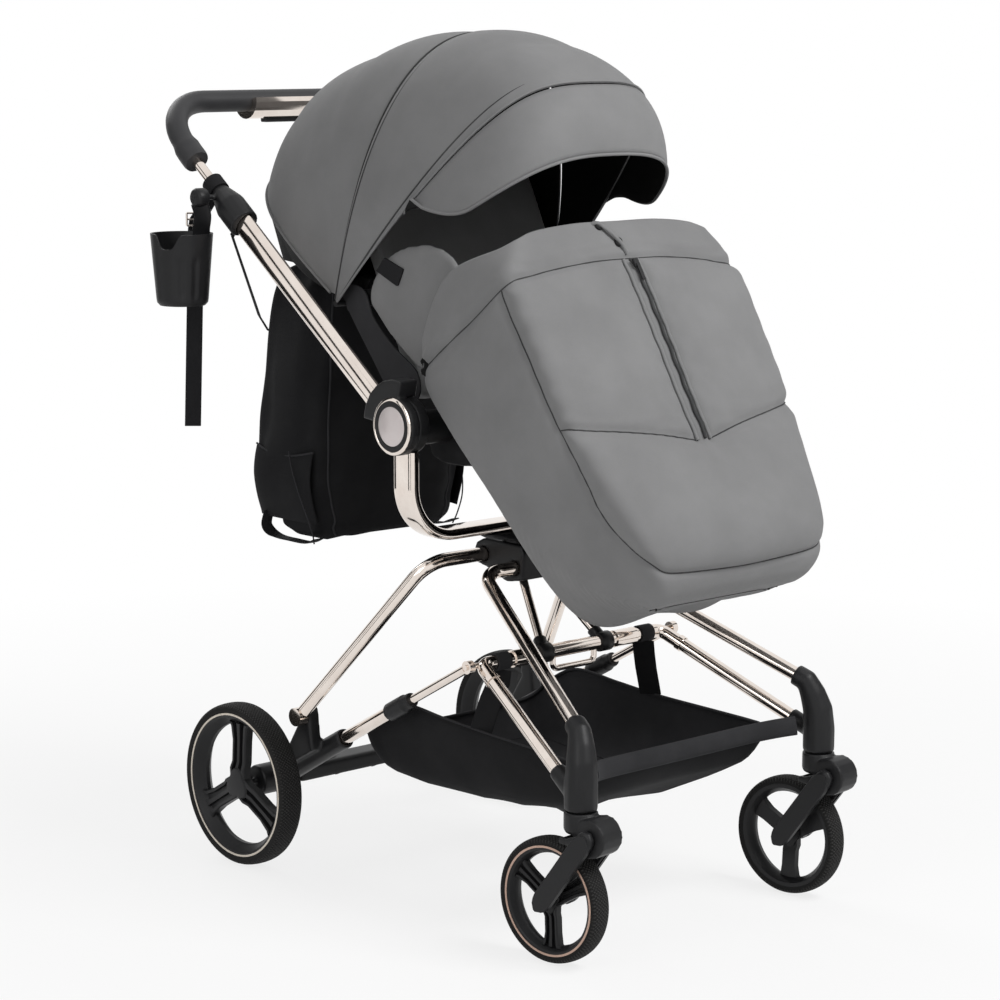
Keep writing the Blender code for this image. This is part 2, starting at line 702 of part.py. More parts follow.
hub_outline = [(0.318, 0.446), (0.352, 0.440), (0.392, 0.455), (0.416, 0.460), (0.4215, 0.474),
               (0.416, 0.489), (0.400, HUB_TOP), (0.322, HUB_TOP), (0.315, 0.485)]
hub = solid(side_plate("hub_bracket", hub_outline, 2 * HUB_HALF_WIDTH, BLACK, PRAM, (0.0, 0.0, 0.0)))
cut(hub, rod("front_bar_bore", (-0.06, FRONT_BAR.y, FRONT_BAR.z), (0.06, FRONT_BAR.y, FRONT_BAR.z),
             LEG_RADIUS + SEAT_GAP, BLACK, PRAM, 20))
cut(hub, rod("rear_bar_bore", (-0.06, REAR_BAR.y, REAR_BAR.z), (0.06, REAR_BAR.y, REAR_BAR.z),
             LEG_RADIUS + RUN_GAP, BLACK, PRAM, 20))
cut(hub, rod("spigot_socket", (0.0, CENTRE_Y, HUB_TOP - SPIGOT_DEPTH - SEAT_GAP), (0.0, CENTRE_Y, HUB_TOP + 0.01),
             SPIGOT_RADIUS + SEAT_GAP, BLACK, PRAM, 20))

# Crossbar with its short legs, sleeves, link pins and the low loop
corner = CROSSBAR_CORNER
diagonal_line = (DIAGONAL_PIN - corner).normalized()
collar_end = corner + diagonal_line * COLLAR_SPAN[1]
crossbar = solid(tube("crossbar", there_and_back(rounded(
    [collar_end, corner, (0.0, corner.y, corner.z)], CROSSBAR_BEND)[:-1]), CROSSBAR_RADIUS, CHROME, PRAM))
for left in (True, False):
    join(crossbar, rod("sleeve", flip((SLEEVE_SPAN[0], corner.y, corner.z), left),
                       flip((SLEEVE_SPAN[1], corner.y, corner.z), left), SLEEVE_RADIUS, CHROME, PRAM, 16))
    join(crossbar, rod("link_pin", flip((corner.x - 0.009, corner.y, corner.z), left),
                       flip((LINK_X + 0.0075, corner.y, corner.z), left), LINK_PIN, CHROME, PRAM, 12))
    collar_start = corner + diagonal_line * COLLAR_SPAN[0]
    join(crossbar, rod("collar", flip(collar_start, left), flip(collar_end, left),
                       DIAGONAL_RADIUS + COLLAR_HEIGHT, CHROME, PRAM, 16))
loop_top = corner.z - 0.004
loop_route = there_and_back(rounded([(LOOP_HALF_WIDTH, corner.y, loop_top),
                                     (LOOP_HALF_WIDTH, corner.y, corner.z - LOOP_DROP),
                                     (0.0, corner.y, corner.z - LOOP_DROP)], 0.009, 3)[:-1])
join(crossbar, solid(tube("low_loop", loop_route, LOOP_RADIUS, CHROME, PRAM, 8)))

# Struts from the hub to clips on the crossbar
strut_high = Vector((0.023, CENTRE_Y, 0.4462))
strut_low = Vector((CLIP_X, corner.y, corner.z))
strut_line = (strut_low - strut_high).normalized()
strut_foot = strut_low - strut_line * (CROSSBAR_RADIUS + 0.0012)
clip_outer = CROSSBAR_RADIUS + CLIP_WALL
for left in (True, False):
    strut = rod(side("hub_strut", left), flip(strut_high, left), flip(strut_foot, left),
                STRUT_RADIUS, CHROME, PRAM, 12)
    clip = rod("clip_ring", flip((CLIP_X - CLIP_LENGTH / 2, corner.y, corner.z), left),
               flip((CLIP_X + CLIP_LENGTH / 2, corner.y, corner.z), left), clip_outer, BLACK, PRAM, 18)
    cup = rod("clip_cup", flip(strut_low, left), flip(strut_low - strut_line * 0.024, left),
              STRUT_RADIUS + 0.003, BLACK, PRAM, 16)
    join(strut, clip, cup)
    cut(strut, rod("clip_bore", flip((CLIP_X - CLIP_LENGTH, corner.y, corner.z), left),
                   flip((CLIP_X + CLIP_LENGTH, corner.y, corner.z), left),
                   CROSSBAR_RADIUS + SEAT_GAP, BLACK, PRAM, 20))
    cut(hub, rod("strut_socket", flip(strut_high - strut_line * SEAT_GAP, left), flip(strut_low, left),
                 STRUT_RADIUS + SEAT_GAP, BLACK, PRAM, 16))

# Front elbows and the diagonal tubes riveted to them
caster_x = CASTER_SPREAD / 2
for left in (True, False):
    route = [flip((caster_x, 0.0, GROOVE_Z + RUN_GAP), left), flip((caster_x, 0.0, 0.248), left),
             flip((caster_x - 0.002, 0.001, 0.275), left), flip((caster_x - 0.0065, 0.007, 0.297), left),
             flip(ELBOW_TOP - FRONT_LEG_DIRECTION * 0.010, left), flip(ELBOW_TOP + FRONT_LEG_DIRECTION * 0.008, left)]
    end = ELBOW_END_RADIUS / STEM_RADIUS
    elbow = solid(tube(side("front_elbow", left), route, STEM_RADIUS, BLACK, PRAM, 12,
                       (1.0, 1.0, 0.94, 0.82, end * 1.04, end)))
    lug_start = DIAGONAL_PIN - diagonal_line * 0.006
    lug_end = DIAGONAL_PIN + diagonal_line * 0.034
    lug = rod("diagonal_lug", flip(lug_start, left), flip(lug_end, left), DIAGONAL_RADIUS + 0.003, BLACK, PRAM, 12)
    rivet = rod("rivet", flip(DIAGONAL_PIN + Vector((0.0145, 0, 0)), left),
                flip(DIAGONAL_PIN - Vector((0.0145, 0, 0)), left), 0.004, BLACK, PRAM, 10)
    join(elbow, lug, rivet)
    socket_floor = ELBOW_TOP - FRONT_LEG_DIRECTION * (0.012 + SEAT_GAP)
    cut(elbow, rod("leg_socket", flip(socket_floor, left), flip(ELBOW_TOP + FRONT_LEG_DIRECTION * 0.03, left),
                   LEG_RADIUS + SEAT_GAP, BLACK, PRAM, 16))
    tube_foot = DIAGONAL_PIN + diagonal_line * 0.010
    cut(elbow, rod("diagonal_socket", flip(tube_foot + diagonal_line * SEAT_GAP, left),
                   flip(corner, left), DIAGONAL_RADIUS + SEAT_GAP, BLACK, PRAM, 16))
    diagonal_start = collar_end + diagonal_line * SEAT_GAP
    rod(side("diagonal_tube", left), flip(diagonal_start, left), flip(tube_foot, left),
        DIAGONAL_RADIUS, CHROME, PRAM, 16)

# Casters: head, swinging fork, spring and wheel, in the caster's own steered frame
arm_inner = FRONT_TYRE_WIDTH / 2 + SIDE_GAP + 0.0015
wheel_centre = Vector((0.0, CASTER_TRAIL, FRONT_RADIUS))
knee = Vector((0.0, KNEE_Y, KNEE_Z))
arm_line = (wheel_centre - knee).normalized()
arm_length = (wheel_centre - knee).length
across = Vector((1.0, 0.0, 0.0))


def capsule(start, end, radius, steps=4):
    """The outline of a bar with round ends, in the side view."""
    direction = math.atan2(end.z - start.z, end.y - start.y)
    points = []
    for centre, first in ((end, direction - math.pi / 2), (start, direction + math.pi / 2)):
        for step in range(steps + 1):
            angle = first + math.pi * step / steps
            points.append((centre.y + radius * math.cos(angle), centre.z + radius * math.sin(angle)))
    return points


for left in (True, False):
    swivel = carrier(side("caster_axis", left), flip((caster_x, 0.0, 0.0), left), PRAM, CASTER_STEER, own_frame=True)
    swing = carrier(side("fork_axis", left), knee, swivel)
    spin = carrier(side("front_wheel_axis", left), wheel_centre, swing)
    wheel("front", left, spin, wheel_centre, across, FRONT_RADIUS, FRONT_TYRE_WIDTH, FRONT_TYRE_HEIGHT, True)

    head = turned(side("caster_head", left),
                  [(0.0, GROOVE_Z), (STEM_RADIUS, GROOVE_Z), (STEM_RADIUS, GROOVE_Z - STEM_LENGTH * 0.8),
                   (STEM_RADIUS - 0.003, GROOVE_Z - STEM_LENGTH), (0.0, GROOVE_Z - STEM_LENGTH)],
                  BLACK, swivel, (0.0, 0.0, 0.0), steps=16)
    half_knee = arm_inner - RUN_GAP
    bulge = rod("knee", knee - across * half_knee, knee + across * half_knee, KNEE_RADIUS, BLACK, swivel, 16)
    knee_pin = rod("knee_pin", knee - across * (arm_inner + ARM_THICKNESS * 0.7),
                   knee + across * (arm_inner + ARM_THICKNESS * 0.7), FORK_PIN, BLACK, swivel, 12)
    join(head, bulge, knee_pin)

    arms = None
    for hand in (1, -1):
        centre_x = hand * (arm_inner + ARM_THICKNESS / 2)
        arm = solid(side_plate(side("front_fork", left), capsule(knee, wheel_centre, ARM_HALF_WIDTH),
                               ARM_THICKNESS, BLACK, swing, (centre_x, 0.0, 0.0)))
        panel = solid(side_plate("arm_panel", capsule(knee, wheel_centre, ARM_HALF_WIDTH * 0.74, 3),
                                 ARM_PANEL * 2, BLACK, swing,
                                 (hand * (arm_inner + ARM_THICKNESS), 0.0, 0.0)))
        if arms is None:
            arms = join(arm, panel)
        else:
            join(arms, arm, panel)
    bridge_spot = Vector((0.0, 0.0115, 0.1765))
    bridge_reach = arm_inner + 0.004
    bridge_web = []
    for hand in (1, -1):
        web = solid(side_plate("bridge_web", [(knee.y + 0.004, knee.z - 0.016), (bridge_spot.y + 0.004, bridge_spot.z - 0.004),
                                              (bridge_spot.y + 0.004, bridge_spot.z + 0.004),
                                              (bridge_spot.y - 0.006, bridge_spot.z + 0.004), (knee.y + 0.008, knee.z + 0.006)],
                               0.005, BLACK, swing, (hand * (arm_inner + 0.0045), 0.0, 0.0)))
        bridge_web.append(web)
    bridge = rod("bridge", bridge_spot - across * bridge_reach, bridge_spot + across * bridge_reach,
                 0.0040, BLACK, swing, 10)
    axle = rod("front_axle", wheel_centre - across * (arm_inner + 0.003),
               wheel_centre + across * (arm_inner + 0.003), AXLE_RADIUS, BLACK, swing, 12)
    join(arms, bridge, *bridge_web, axle)
    cut(arms, rod("knee_bore", knee - across * (arm_inner + ARM_THICKNESS * 0.8),
                  knee + across * (arm_inner + ARM_THICKNESS * 0.8), FORK_PIN + SEAT_GAP, BLACK, swing, 12))


# Turntable: a round disc on a spigot in the hub, widening into the cradle under the seat bow

def stadium(half_length, half_width, z, count=24):
    """A ring of points round the swivel axis: a circle where both sizes are equal."""
    points = []
    for number in range(count):
        angle = 2 * math.pi * number / count
        run = max(-1.0, min(1.0, 2.0 * math.cos(angle)))
        x = (half_length - half_width) * run + half_width * math.cos(angle)
        points.append(Vector((x, half_width * math.sin(angle), z - HUB_TOP)))
    return points


cradle_top = BOW_Z - BOW_THICKNESS / 2 - SEAT_GAP
table = loft("turntable_disc", [stadium(DISC_RADIUS, DISC_RADIUS, HUB_TOP + SEAT_GAP),
                                stadium(DISC_RADIUS, DISC_RADIUS, HUB_TOP + 0.006),
                                stadium(COVER_HALF_LENGTH * 0.8, 0.036, HUB_TOP + 0.012),
                                stadium(COVER_HALF_LENGTH, 0.026, cradle_top)], BLACK, SEAT_UNIT)
table.location = (0.0, 0.0, 0.0)
join(table, rod("spigot", (0.0, CENTRE_Y, HUB_TOP - SPIGOT_DEPTH), (0.0, CENTRE_Y, HUB_TOP + 0.004),
                SPIGOT_RADIUS, BLACK, SEAT_UNIT, 20))

# Seat bow: a flat band bent into a U, its ends hollowed to the pivot housings
outer_x = BOW_X + BOW_THICKNESS / 2
inner_x = BOW_X - BOW_THICKNESS / 2
bow_route = there_and_back(rounded([(BOW_X, 0.0, PIVOT_Z - HUB_TOP), (BOW_X, 0.0, BOW_Z - HUB_TOP),
                                    (0.0, 0.0, BOW_Z - HUB_TOP)], BOW_BEND, 6)[:-1])
bow_rings = []
for number, point in enumerate(bow_route):
    before = bow_route[max(number - 1, 0)]
    after = bow_route[min(number + 1, len(bow_route) - 1)]
    inward = (after - before).normalized().cross(Vector((0.0, 1.0, 0.0)))
    ring_of_band = []
    for step in range(12):
        angle = 2 * math.pi * (step + 0.5) / 12
        thick = BOW_THICKNESS / 2 * math.copysign(abs(math.cos(angle)) ** 0.6, math.cos(angle)) / 0.98
        wide = BOW_BAND / 2 * math.copysign(abs(math.sin(angle)) ** 0.35, math.sin(angle))
        ring_of_band.append(point + inward * thick + Vector((0.0, wide, 0.0)))
    bow_rings.append(ring_of_band)
bow = loft("seat_bow", bow_rings, CHROME, SEAT_UNIT)
bow.location = (0.0, 0.0, 0.0)
for left in (True, False):
    cut(bow, rod("bow_end", flip((inner_x - 0.01, CENTRE_Y, PIVOT_Z), left),
                 flip((outer_x + 0.01, CENTRE_Y, PIVOT_Z), left), PIVOT_RADIUS + SEAT_GAP + 0.0003, CHROME, SEAT_UNIT, 24))

# Pivots of the handle: housing with its pin, knuckle with the tube's socket, outer cover
handle_line = Vector((0.0, HANDLE_TOP[0] - HANDLE_FOOT[0], HANDLE_TOP[1] - HANDLE_FOOT[1]))
TUBE_LENGTH = handle_line.length
handle_line.normalize()
handle_turn = Matrix((Vector((1, 0, 0)), handle_line.cross(Vector((1, 0, 0))), handle_line)).transposed()
housing_depth = KNUCKLE_INNER_X - SEAT_GAP - HOUSING_INNER_X
pin_depth = KNUCKLE_OUTER_X - 0.004 - HOUSING_INNER_X
HANDLE_BODY = carrier("handle_bar_axis", (0.0, HANDLE_TOP[0], HANDLE_TOP[1]), HANDLE)


def on_handle(distance, left=True, x=HANDLE_X):
    """A point on the axis of a side tube, at a distance past the tube's top."""
    y = HANDLE_TOP[0] + handle_line.y * distance
    z = HANDLE_TOP[1] + handle_line.z * distance
    return flip((x, y, z), left)


def sector(centre, inner, outer, first, last, steps):
    """The outline of a ring segment round a centre, in the side view."""
    points = []
    for radius, angles in ((outer, range(steps + 1)), (inner, range(steps, -1, -1))):
        for step in angles:
            angle = math.radians(first + (last - first) * step / steps)
            points.append((centre[0] + radius * math.cos(angle), centre[1] + radius * math.sin(angle)))
    return points


def oval_prism(name, half_long, half_short, length, surface, holder, at, bore=None):
    """A straight tube of oval section along the handle, its thin way across the pram."""
    curve = bpy.data.curves.new(name, "CURVE")
    curve.dimensions = "2D"
    curve.fill_mode = "BOTH"
    curve.extrude = length / 2
    sections = [(half_short, half_long)]
    if bore is not None:
        sections.append((half_short - bore, half_long - bore))
    for across, along in sections:
        spline = curve.splines.new("POLY")
        spline.points.add(19)
        spline.use_cyclic_u = True
        for number, knot in enumerate(spline.points):
            angle = 2 * math.pi * number / 20
            knot.co = (across * math.cos(angle), along * math.sin(angle), 0.0, 1.0)
    curve.materials.append(surface)
    piece = place(bpy.data.objects.new(name, curve), holder, at)
    piece.rotation_euler = handle_turn.to_euler()
    return piece


for left in (True, False):
    facing = (1.0, 0.0, 0.0) if left else (-1.0, 0.0, 0.0)
    turned(side("pivot_housing", left),
           [(0.0, pin_depth), (PIVOT_PIN, pin_depth), (PIVOT_PIN, housing_depth), (PIVOT_RADIUS, housing_depth),
            (PIVOT_RADIUS, 0.0), (0.0, 0.0)], BLACK, SEAT_UNIT,
           flip((HOUSING_INNER_X, CENTRE_Y, PIVOT_Z), left), facing, 24)

    disc_middle = (KNUCKLE_INNER_X + KNUCKLE_OUTER_X) / 2
    knuckle = rod(side("handle_knuckle", left), flip((KNUCKLE_INNER_X, CENTRE_Y, PIVOT_Z), left),
                  flip((KNUCKLE_OUTER_X, CENTRE_Y, PIVOT_Z), left), PIVOT_RADIUS + 0.001, BLACK, HANDLE, 24)
    wing = solid(side_plate("knuckle_wing", sector(PIVOT, PIVOT_RADIUS - 0.010, KNUCKLE_REACH, *KNUCKLE_ARC, 6),
                            KNUCKLE_OUTER_X - KNUCKLE_INNER_X, BLACK, HANDLE, flip((disc_middle, 0.0, 0.0), left)))
    ring_middle = (HOUSING_INNER_X + KNUCKLE_OUTER_X) / 2
    clamp = solid(side_plate("knuckle_clamp", sector(PIVOT, PIVOT_RADIUS + RUN_GAP + 0.0004, KNUCKLE_REACH, *KNUCKLE_ARC, 6),
                             KNUCKLE_OUTER_X - HOUSING_INNER_X, BLACK, HANDLE, flip((ring_middle, 0.0, 0.0), left)))
    join(knuckle, wing, clamp)
    cut(knuckle, rod("knuckle_bore", flip((KNUCKLE_INNER_X - 0.01, CENTRE_Y, PIVOT_Z), left),
                     flip((KNUCKLE_OUTER_X + 0.01, CENTRE_Y, PIVOT_Z), left), PIVOT_PIN + SEAT_GAP, BLACK, HANDLE, 20))
    socket = solid(oval_prism("tube_socket", HANDLE_DEPTH / 2 + SEAT_GAP, HANDLE_THICKNESS / 2 + SEAT_GAP, 0.06,
                              BLACK, HANDLE, on_handle(-TUBE_LENGTH + 0.030 - SEAT_GAP, left)))
    cut(knuckle, socket)

    cover_at = flip((KNUCKLE_OUTER_X + SEAT_GAP, CENTRE_Y, PIVOT_Z), left)
    turned(side("pivot_cover", left),
           [(0.0, COVER_HEIGHT), (COVER_RADIUS - 0.006, COVER_HEIGHT), (COVER_RADIUS - 0.004, COVER_HEIGHT - 0.001),
            (COVER_RADIUS, COVER_HEIGHT), (COVER_RADIUS + 0.005, COVER_HEIGHT * 0.4),
            (COVER_RADIUS + 0.005, 0.0), (0.0, 0.0)], PEARL, HANDLE, cover_at, facing, 18)

    tube_middle = on_handle(-TUBE_LENGTH / 2, left)
    solid(oval_prism(side("handle_tube", left), HANDLE_DEPTH / 2, HANDLE_THICKNESS / 2, TUBE_LENGTH,
                     CHROME, HANDLE, tube_middle, HANDLE_WALL))

    coupler_start = on_handle(-COUPLER_OVERLAP, left)
    coupler_length = COUPLER_OVERLAP + COUPLER_TOP
    coupler = turned(side("handle_coupler", left),
                     [(0.0, coupler_length), (COUPLER_NECK, coupler_length), (COUPLER_NECK, coupler_length - 0.024),
                      (COUPLER_RADIUS - 0.003, coupler_length - 0.045), (COUPLER_RADIUS, coupler_length - 0.056),
                      (COUPLER_RADIUS, 0.0), (0.0, 0.0)], BLACK, HANDLE, coupler_start, handle_line, 16)
    if not left:
        pin_at = on_handle(0.040, left)
        join(coupler, rod("cup_pin", pin_at, pin_at + Vector((-0.052, 0.0, 0.0)), CUP_PIN, BLACK, HANDLE, 12))
    tube_socket = solid(oval_prism("coupler_socket", HANDLE_DEPTH / 2 + SEAT_GAP, HANDLE_THICKNESS / 2 + SEAT_GAP,
                                   COUPLER_OVERLAP + 0.02, BLACK, HANDLE,
                                   on_handle(-COUPLER_OVERLAP / 2 - 0.01 + SEAT_GAP, left)))
    cut(coupler, tube_socket, rod("coupler_bore", on_handle(-0.05, left), on_handle(0.12, left),
                                  INNER_TUBE_RADIUS + RUN_GAP, BLACK, HANDLE, 16))

# Telescoping bar: a bent chrome tube sheathed in a padded grip
bar_corner = (HANDLE_X, *HANDLE_BAR)
bar_middle = (0.0, *HANDLE_BAR)


def bar_route(start):
    points = rounded([on_handle(start), on_handle(GRIP_BEND_START), bar_corner, bar_middle], [0.10, BAR_BEND], 5)
    return there_and_back(points[:-1])


solid(tube("handle_inner_tube", bar_route(-INNER_TUBE_OVERLAP), INNER_TUBE_RADIUS, CHROME, HANDLE_BODY, 8))
grip_route = bar_route(GRIP_START)
grip_swell = [GRIP_COLLAR / GRIP_RADIUS, GRIP_COLLAR / GRIP_RADIUS] + [1.0] * (len(grip_route) - 4)
grip_swell += [GRIP_COLLAR / GRIP_RADIUS, GRIP_COLLAR / GRIP_RADIUS]
grip = solid(tube("handle_grip", grip_route, GRIP_RADIUS, LEATHER, HANDLE_BODY, 10, grip_swell))
cut(grip, solid(tube("grip_bore", bar_route(GRIP_START - 0.02), INNER_TUBE_RADIUS + 0.0008, LEATHER, HANDLE_BODY, 8)))

button_arc = sector(HANDLE_BAR, GRIP_RADIUS + SEAT_GAP, GRIP_RADIUS + BUTTON_HOUSING_WALL, 168.0, 342.0, 12)
button_shell = solid(side_plate("button_housing", button_arc, 2 * BUTTON_HOUSING_HALF, CHROME, HANDLE_BODY,
                                (0.0, 0.0, 0.0)))
button_z = HANDLE_BAR[1] - GRIP_RADIUS - BUTTON_HOUSING_WALL
pocket_depth = BUTTON_HOUSING_WALL - 0.004
cut(button_shell, block("button_pocket", (2 * BUTTON_HALF_LENGTH + 2 * RUN_GAP, 0.014 + 2 * RUN_GAP, 0.02), BLACK,
                        HANDLE_BODY, (0.0, HANDLE_BAR[0], button_z + pocket_depth - 0.01)))
BUTTON = carrier("button_axis", (0.0, HANDLE_BAR[0], button_z), HANDLE_BODY)
button_top = button_z + pocket_depth - BUTTON_TRAVEL - SEAT_GAP
block("handle_button", (2 * BUTTON_HALF_LENGTH, 0.014, 0.009), BLACK, BUTTON,
      (0.0, HANDLE_BAR[0], button_top - 0.0045), 0.0015)

# Cup holder on the right coupler's pin, with an open notch in its rim
cup_pin = on_handle(0.040, False)
CUP = carrier("cup_axis", cup_pin, HANDLE)
holder_cup = turned("cup_holder",
                    [(0.0, CUP_WALL), (CUP_BOTTOM_RADIUS - CUP_WALL, CUP_WALL), (CUP_TOP_RADIUS - CUP_WALL, CUP_HEIGHT),
                     (CUP_TOP_RADIUS, CUP_HEIGHT), (CUP_BOTTOM_RADIUS, 0.005), (CUP_BOTTOM_RADIUS - 0.005, 0.0),
                     (0.0, 0.0)], BLACK, CUP, (*CUP_AXIS, CUP_BASE_Z), steps=20)
cut(holder_cup, rod("cup_notch", (CUP_AXIS[0] - 0.06, CUP_AXIS[1], CUP_BASE_Z + CUP_HEIGHT),
                    (CUP_AXIS[0] - 0.01, CUP_AXIS[1], CUP_BASE_Z + CUP_HEIGHT), 0.016, BLACK, CUP, 18))
arm_x = -0.286
rim_y = CUP_AXIS[1] - CUP_TOP_RADIUS
arm_foot = CUP_BASE_Z + CUP_HEIGHT - 0.030
cup_arm = solid(side_plate("cup_arm", [(rim_y + 0.008, arm_foot), (rim_y + 0.008, arm_foot + 0.03),
                                       (cup_pin.y + 0.010, cup_pin.z - 0.004), (cup_pin.y - 0.010, cup_pin.z - 0.004),
                                       (rim_y - 0.006, arm_foot + 0.02), (rim_y - 0.003, arm_foot)],
                           0.009, BLACK, CUP, (arm_x, 0.0, 0.0)))
eye = rod("cup_eye", (arm_x - 0.0045, cup_pin.y, cup_pin.z), (arm_x + 0.0045, cup_pin.y, cup_pin.z), 0.011, BLACK, CUP, 18)
join(holder_cup, cup_arm, eye)
cut(holder_cup, rod("cup_eye_bore", (arm_x - 0.02, cup_pin.y, cup_pin.z), (arm_x + 0.02, cup_pin.y, cup_pin.z),
                    CUP_PIN + SEAT_GAP, BLACK, CUP, 14))
cut(holder_cup, turned("cup_inside",
                       [(0.0, CUP_HEIGHT + 0.05), (CUP_TOP_RADIUS - CUP_WALL, CUP_HEIGHT + 0.0001),
                        (CUP_BOTTOM_RADIUS - CUP_WALL, CUP_WALL + 0.001), (0.0, CUP_WALL + 0.001)],
                       BLACK, CUP, (*CUP_AXIS, CUP_BASE_Z), steps=20))

# Wrist strap: webbing looped round the right coupler's neck, its tail hanging behind the cup
loop_middle = on_handle(COUPLER_TOP - 0.0125, False)
loop_inner = COUPLER_NECK + SEAT_GAP
strap = turned("wrist_strap", [(loop_inner + STRAP_THICKNESS, 0.011), (loop_inner + STRAP_THICKNESS, -0.011),
                               (loop_inner, -0.011), (loop_inner, 0.011)], CLOTH, HANDLE, loop_middle, handle_line, 20,
               closed=True)
down = handle_line.cross(Vector((1.0, 0.0, 0.0))) * (1.0 if handle_line.cross(Vector((1, 0, 0))).z < 0 else -1.0)
tail_start = loop_middle + down * (loop_inner + STRAP_THICKNESS / 2)
tail = [(tail_start.y, tail_start.z), (STRAP_TAIL_Y - 0.004, tail_start.z - 0.038), (STRAP_TAIL_Y, tail_start.z - 0.052),
        (STRAP_TAIL_Y, STRAP_END_Z)]
half = STRAP_THICKNESS / 2
tail_outline = [(y + half, z + half * 0.6) for y, z in tail] + [(y - half, z - half * 0.6) for y, z in reversed(tail)]
join(strap, solid(side_plate("strap_tail", tail_outline, STRAP_WIDTH, CLOTH, HANDLE, (-HANDLE_X, 0.0, 0.0))))


# Seat pan with its bosses and ears

seat = block("seat_pan", (2 * PAN_HALF_WIDTH, PAN_REAR_Y - PAN_FRONT_Y, PAN_TOP - PAN_BOTTOM), GREY, SEAT_UNIT,
             (0.0, (PAN_REAR_Y + PAN_FRONT_Y) / 2, (PAN_TOP + PAN_BOTTOM) / 2), 0.014)
ear_x = BACKREST_HALF_WIDTH + SIDE_GAP + EAR_THICKNESS / 2
recline_y, recline_z = RECLINE_AXIS
for left in (True, False):
    boss = rod("seat_boss", flip((PAN_HALF_WIDTH - 0.03, *SEAT_BOSS), left),
               flip((HOUSING_INNER_X - SEAT_GAP, *SEAT_BOSS), left), SEAT_BOSS_RADIUS, BLACK, SEAT_UNIT, 20)
    ear = solid(side_plate("recline_ear", [(recline_y - 0.013, recline_z + 0.009), (recline_y - 0.005, recline_z + 0.015),
                                           (recline_y + 0.006, recline_z + 0.015), (recline_y + 0.014, recline_z + 0.006),
                                           (recline_y + 0.014, recline_z - 0.010), (recline_y - 0.010, PAN_BOTTOM + 0.015),
                                           (PAN_REAR_Y - 0.06, PAN_BOTTOM + 0.015), (PAN_REAR_Y - 0.06, PAN_TOP - 0.012)],
                           EAR_THICKNESS, BLACK, SEAT_UNIT, flip((ear_x, 0.0, 0.0), left)))
    bridge = block("ear_root", (0.03, 0.045, 0.024), BLACK, SEAT_UNIT,
                   flip((ear_x - 0.010, PAN_REAR_Y - 0.045, PAN_BOTTOM + 0.030), left))
    join(seat, boss, ear, bridge)
    cut(seat, rod("recline_bore", flip((ear_x - 0.02, recline_y, recline_z), left),
                  flip((ear_x + 0.02, recline_y, recline_z), left), RECLINE_PIN + SEAT_GAP, BLACK, SEAT_UNIT, 16))
leg_rest = solid(side_plate("leg_rest", [(PAN_FRONT_Y + 0.03, PAN_TOP - 0.006), (PAN_FRONT_Y + 0.005, PAN_TOP - 0.004),
                                         (0.096, 0.545), (0.098, 0.530), (0.116, 0.532), (PAN_FRONT_Y + 0.03, PAN_BOTTOM + 0.01)],
                            2 * PAN_HALF_WIDTH - 0.03, GREY, SEAT_UNIT, (0.0, 0.0, 0.0)))
join(seat, leg_rest)

# Backrest, its foot rounded about the recline pins
lean = Vector((0.0, math.sin(BACKREST_LEAN), math.cos(BACKREST_LEAN)))
flat = Vector((0.0, -lean.z, lean.y))
foot = Vector((0.0, recline_y, recline_z))
back_outline = []
for step in range(9):
    angle = math.pi * step / 8
    spot = foot + (flat * math.cos(angle) - lean * math.sin(angle)) * BACKREST_THICKNESS / 2
    back_outline.append((spot.y, spot.z))
for along, out in ((BACKREST_LENGTH - 0.012, -0.5), (BACKREST_LENGTH, -0.3), (BACKREST_LENGTH, 0.3),
                   (BACKREST_LENGTH - 0.012, 0.5)):
    spot = foot + lean * along + flat * BACKREST_THICKNESS * out
    back_outline.append((spot.y, spot.z))
back = solid(side_plate("backrest", back_outline, 2 * BACKREST_HALF_WIDTH, GREY, BACKREST, (0.0, 0.0, 0.0)))
hinge_y, hinge_z = CANOPY_HINGE
hub_inner = REAR_HALF_WIDTH - CANOPY_HUB_THICKNESS - SEAT_GAP
for left in (True, False):
    join(back, rod("recline_pin", flip((BACKREST_HALF_WIDTH - 0.01, recline_y, recline_z), left),
                   flip((ear_x + EAR_THICKNESS / 2, recline_y, recline_z), left), RECLINE_PIN, BLACK, BACKREST, 16))
    root = foot + lean * 0.155
    arm = solid(side_plate("canopy_arm", [(root.y - 0.010, root.z + 0.012), (hinge_y, hinge_z + 0.014),
                                          (hinge_y + 0.014, hinge_z), (hinge_y, hinge_z - 0.014),
                                          (root.y - 0.004, root.z - 0.026)],
                           0.030, BLACK, BACKREST, flip((hub_inner - 0.015, 0.0, 0.0), left)))
    pin = rod("canopy_pin", flip((hub_inner - 0.01, hinge_y, hinge_z), left),
              flip((FRONT_HALF_WIDTH + 0.001, hinge_y, hinge_z), left), 0.004, BLACK, BACKREST, 12)
    join(back, arm, pin)

# Bumper bar under the muff
bumper = solid(tube("bumper_bar", there_and_back(rounded(
    [(BUMPER_X, *BUMPER_FOOT), (BUMPER_X, *BUMPER_TOP), (0.0, *BUMPER_TOP)], BUMPER_BEND)[:-1]),
    BUMPER_RADIUS, BLACK, SEAT_UNIT, 10))
for left in (True, False):
    cut(bumper, rod("bumper_seat", flip((BUMPER_X - 0.02, *SEAT_BOSS), left), flip((BUMPER_X + 0.02, *SEAT_BOSS), left),
                    SEAT_BOSS_RADIUS + SEAT_GAP, BLACK, SEAT_UNIT, 20))

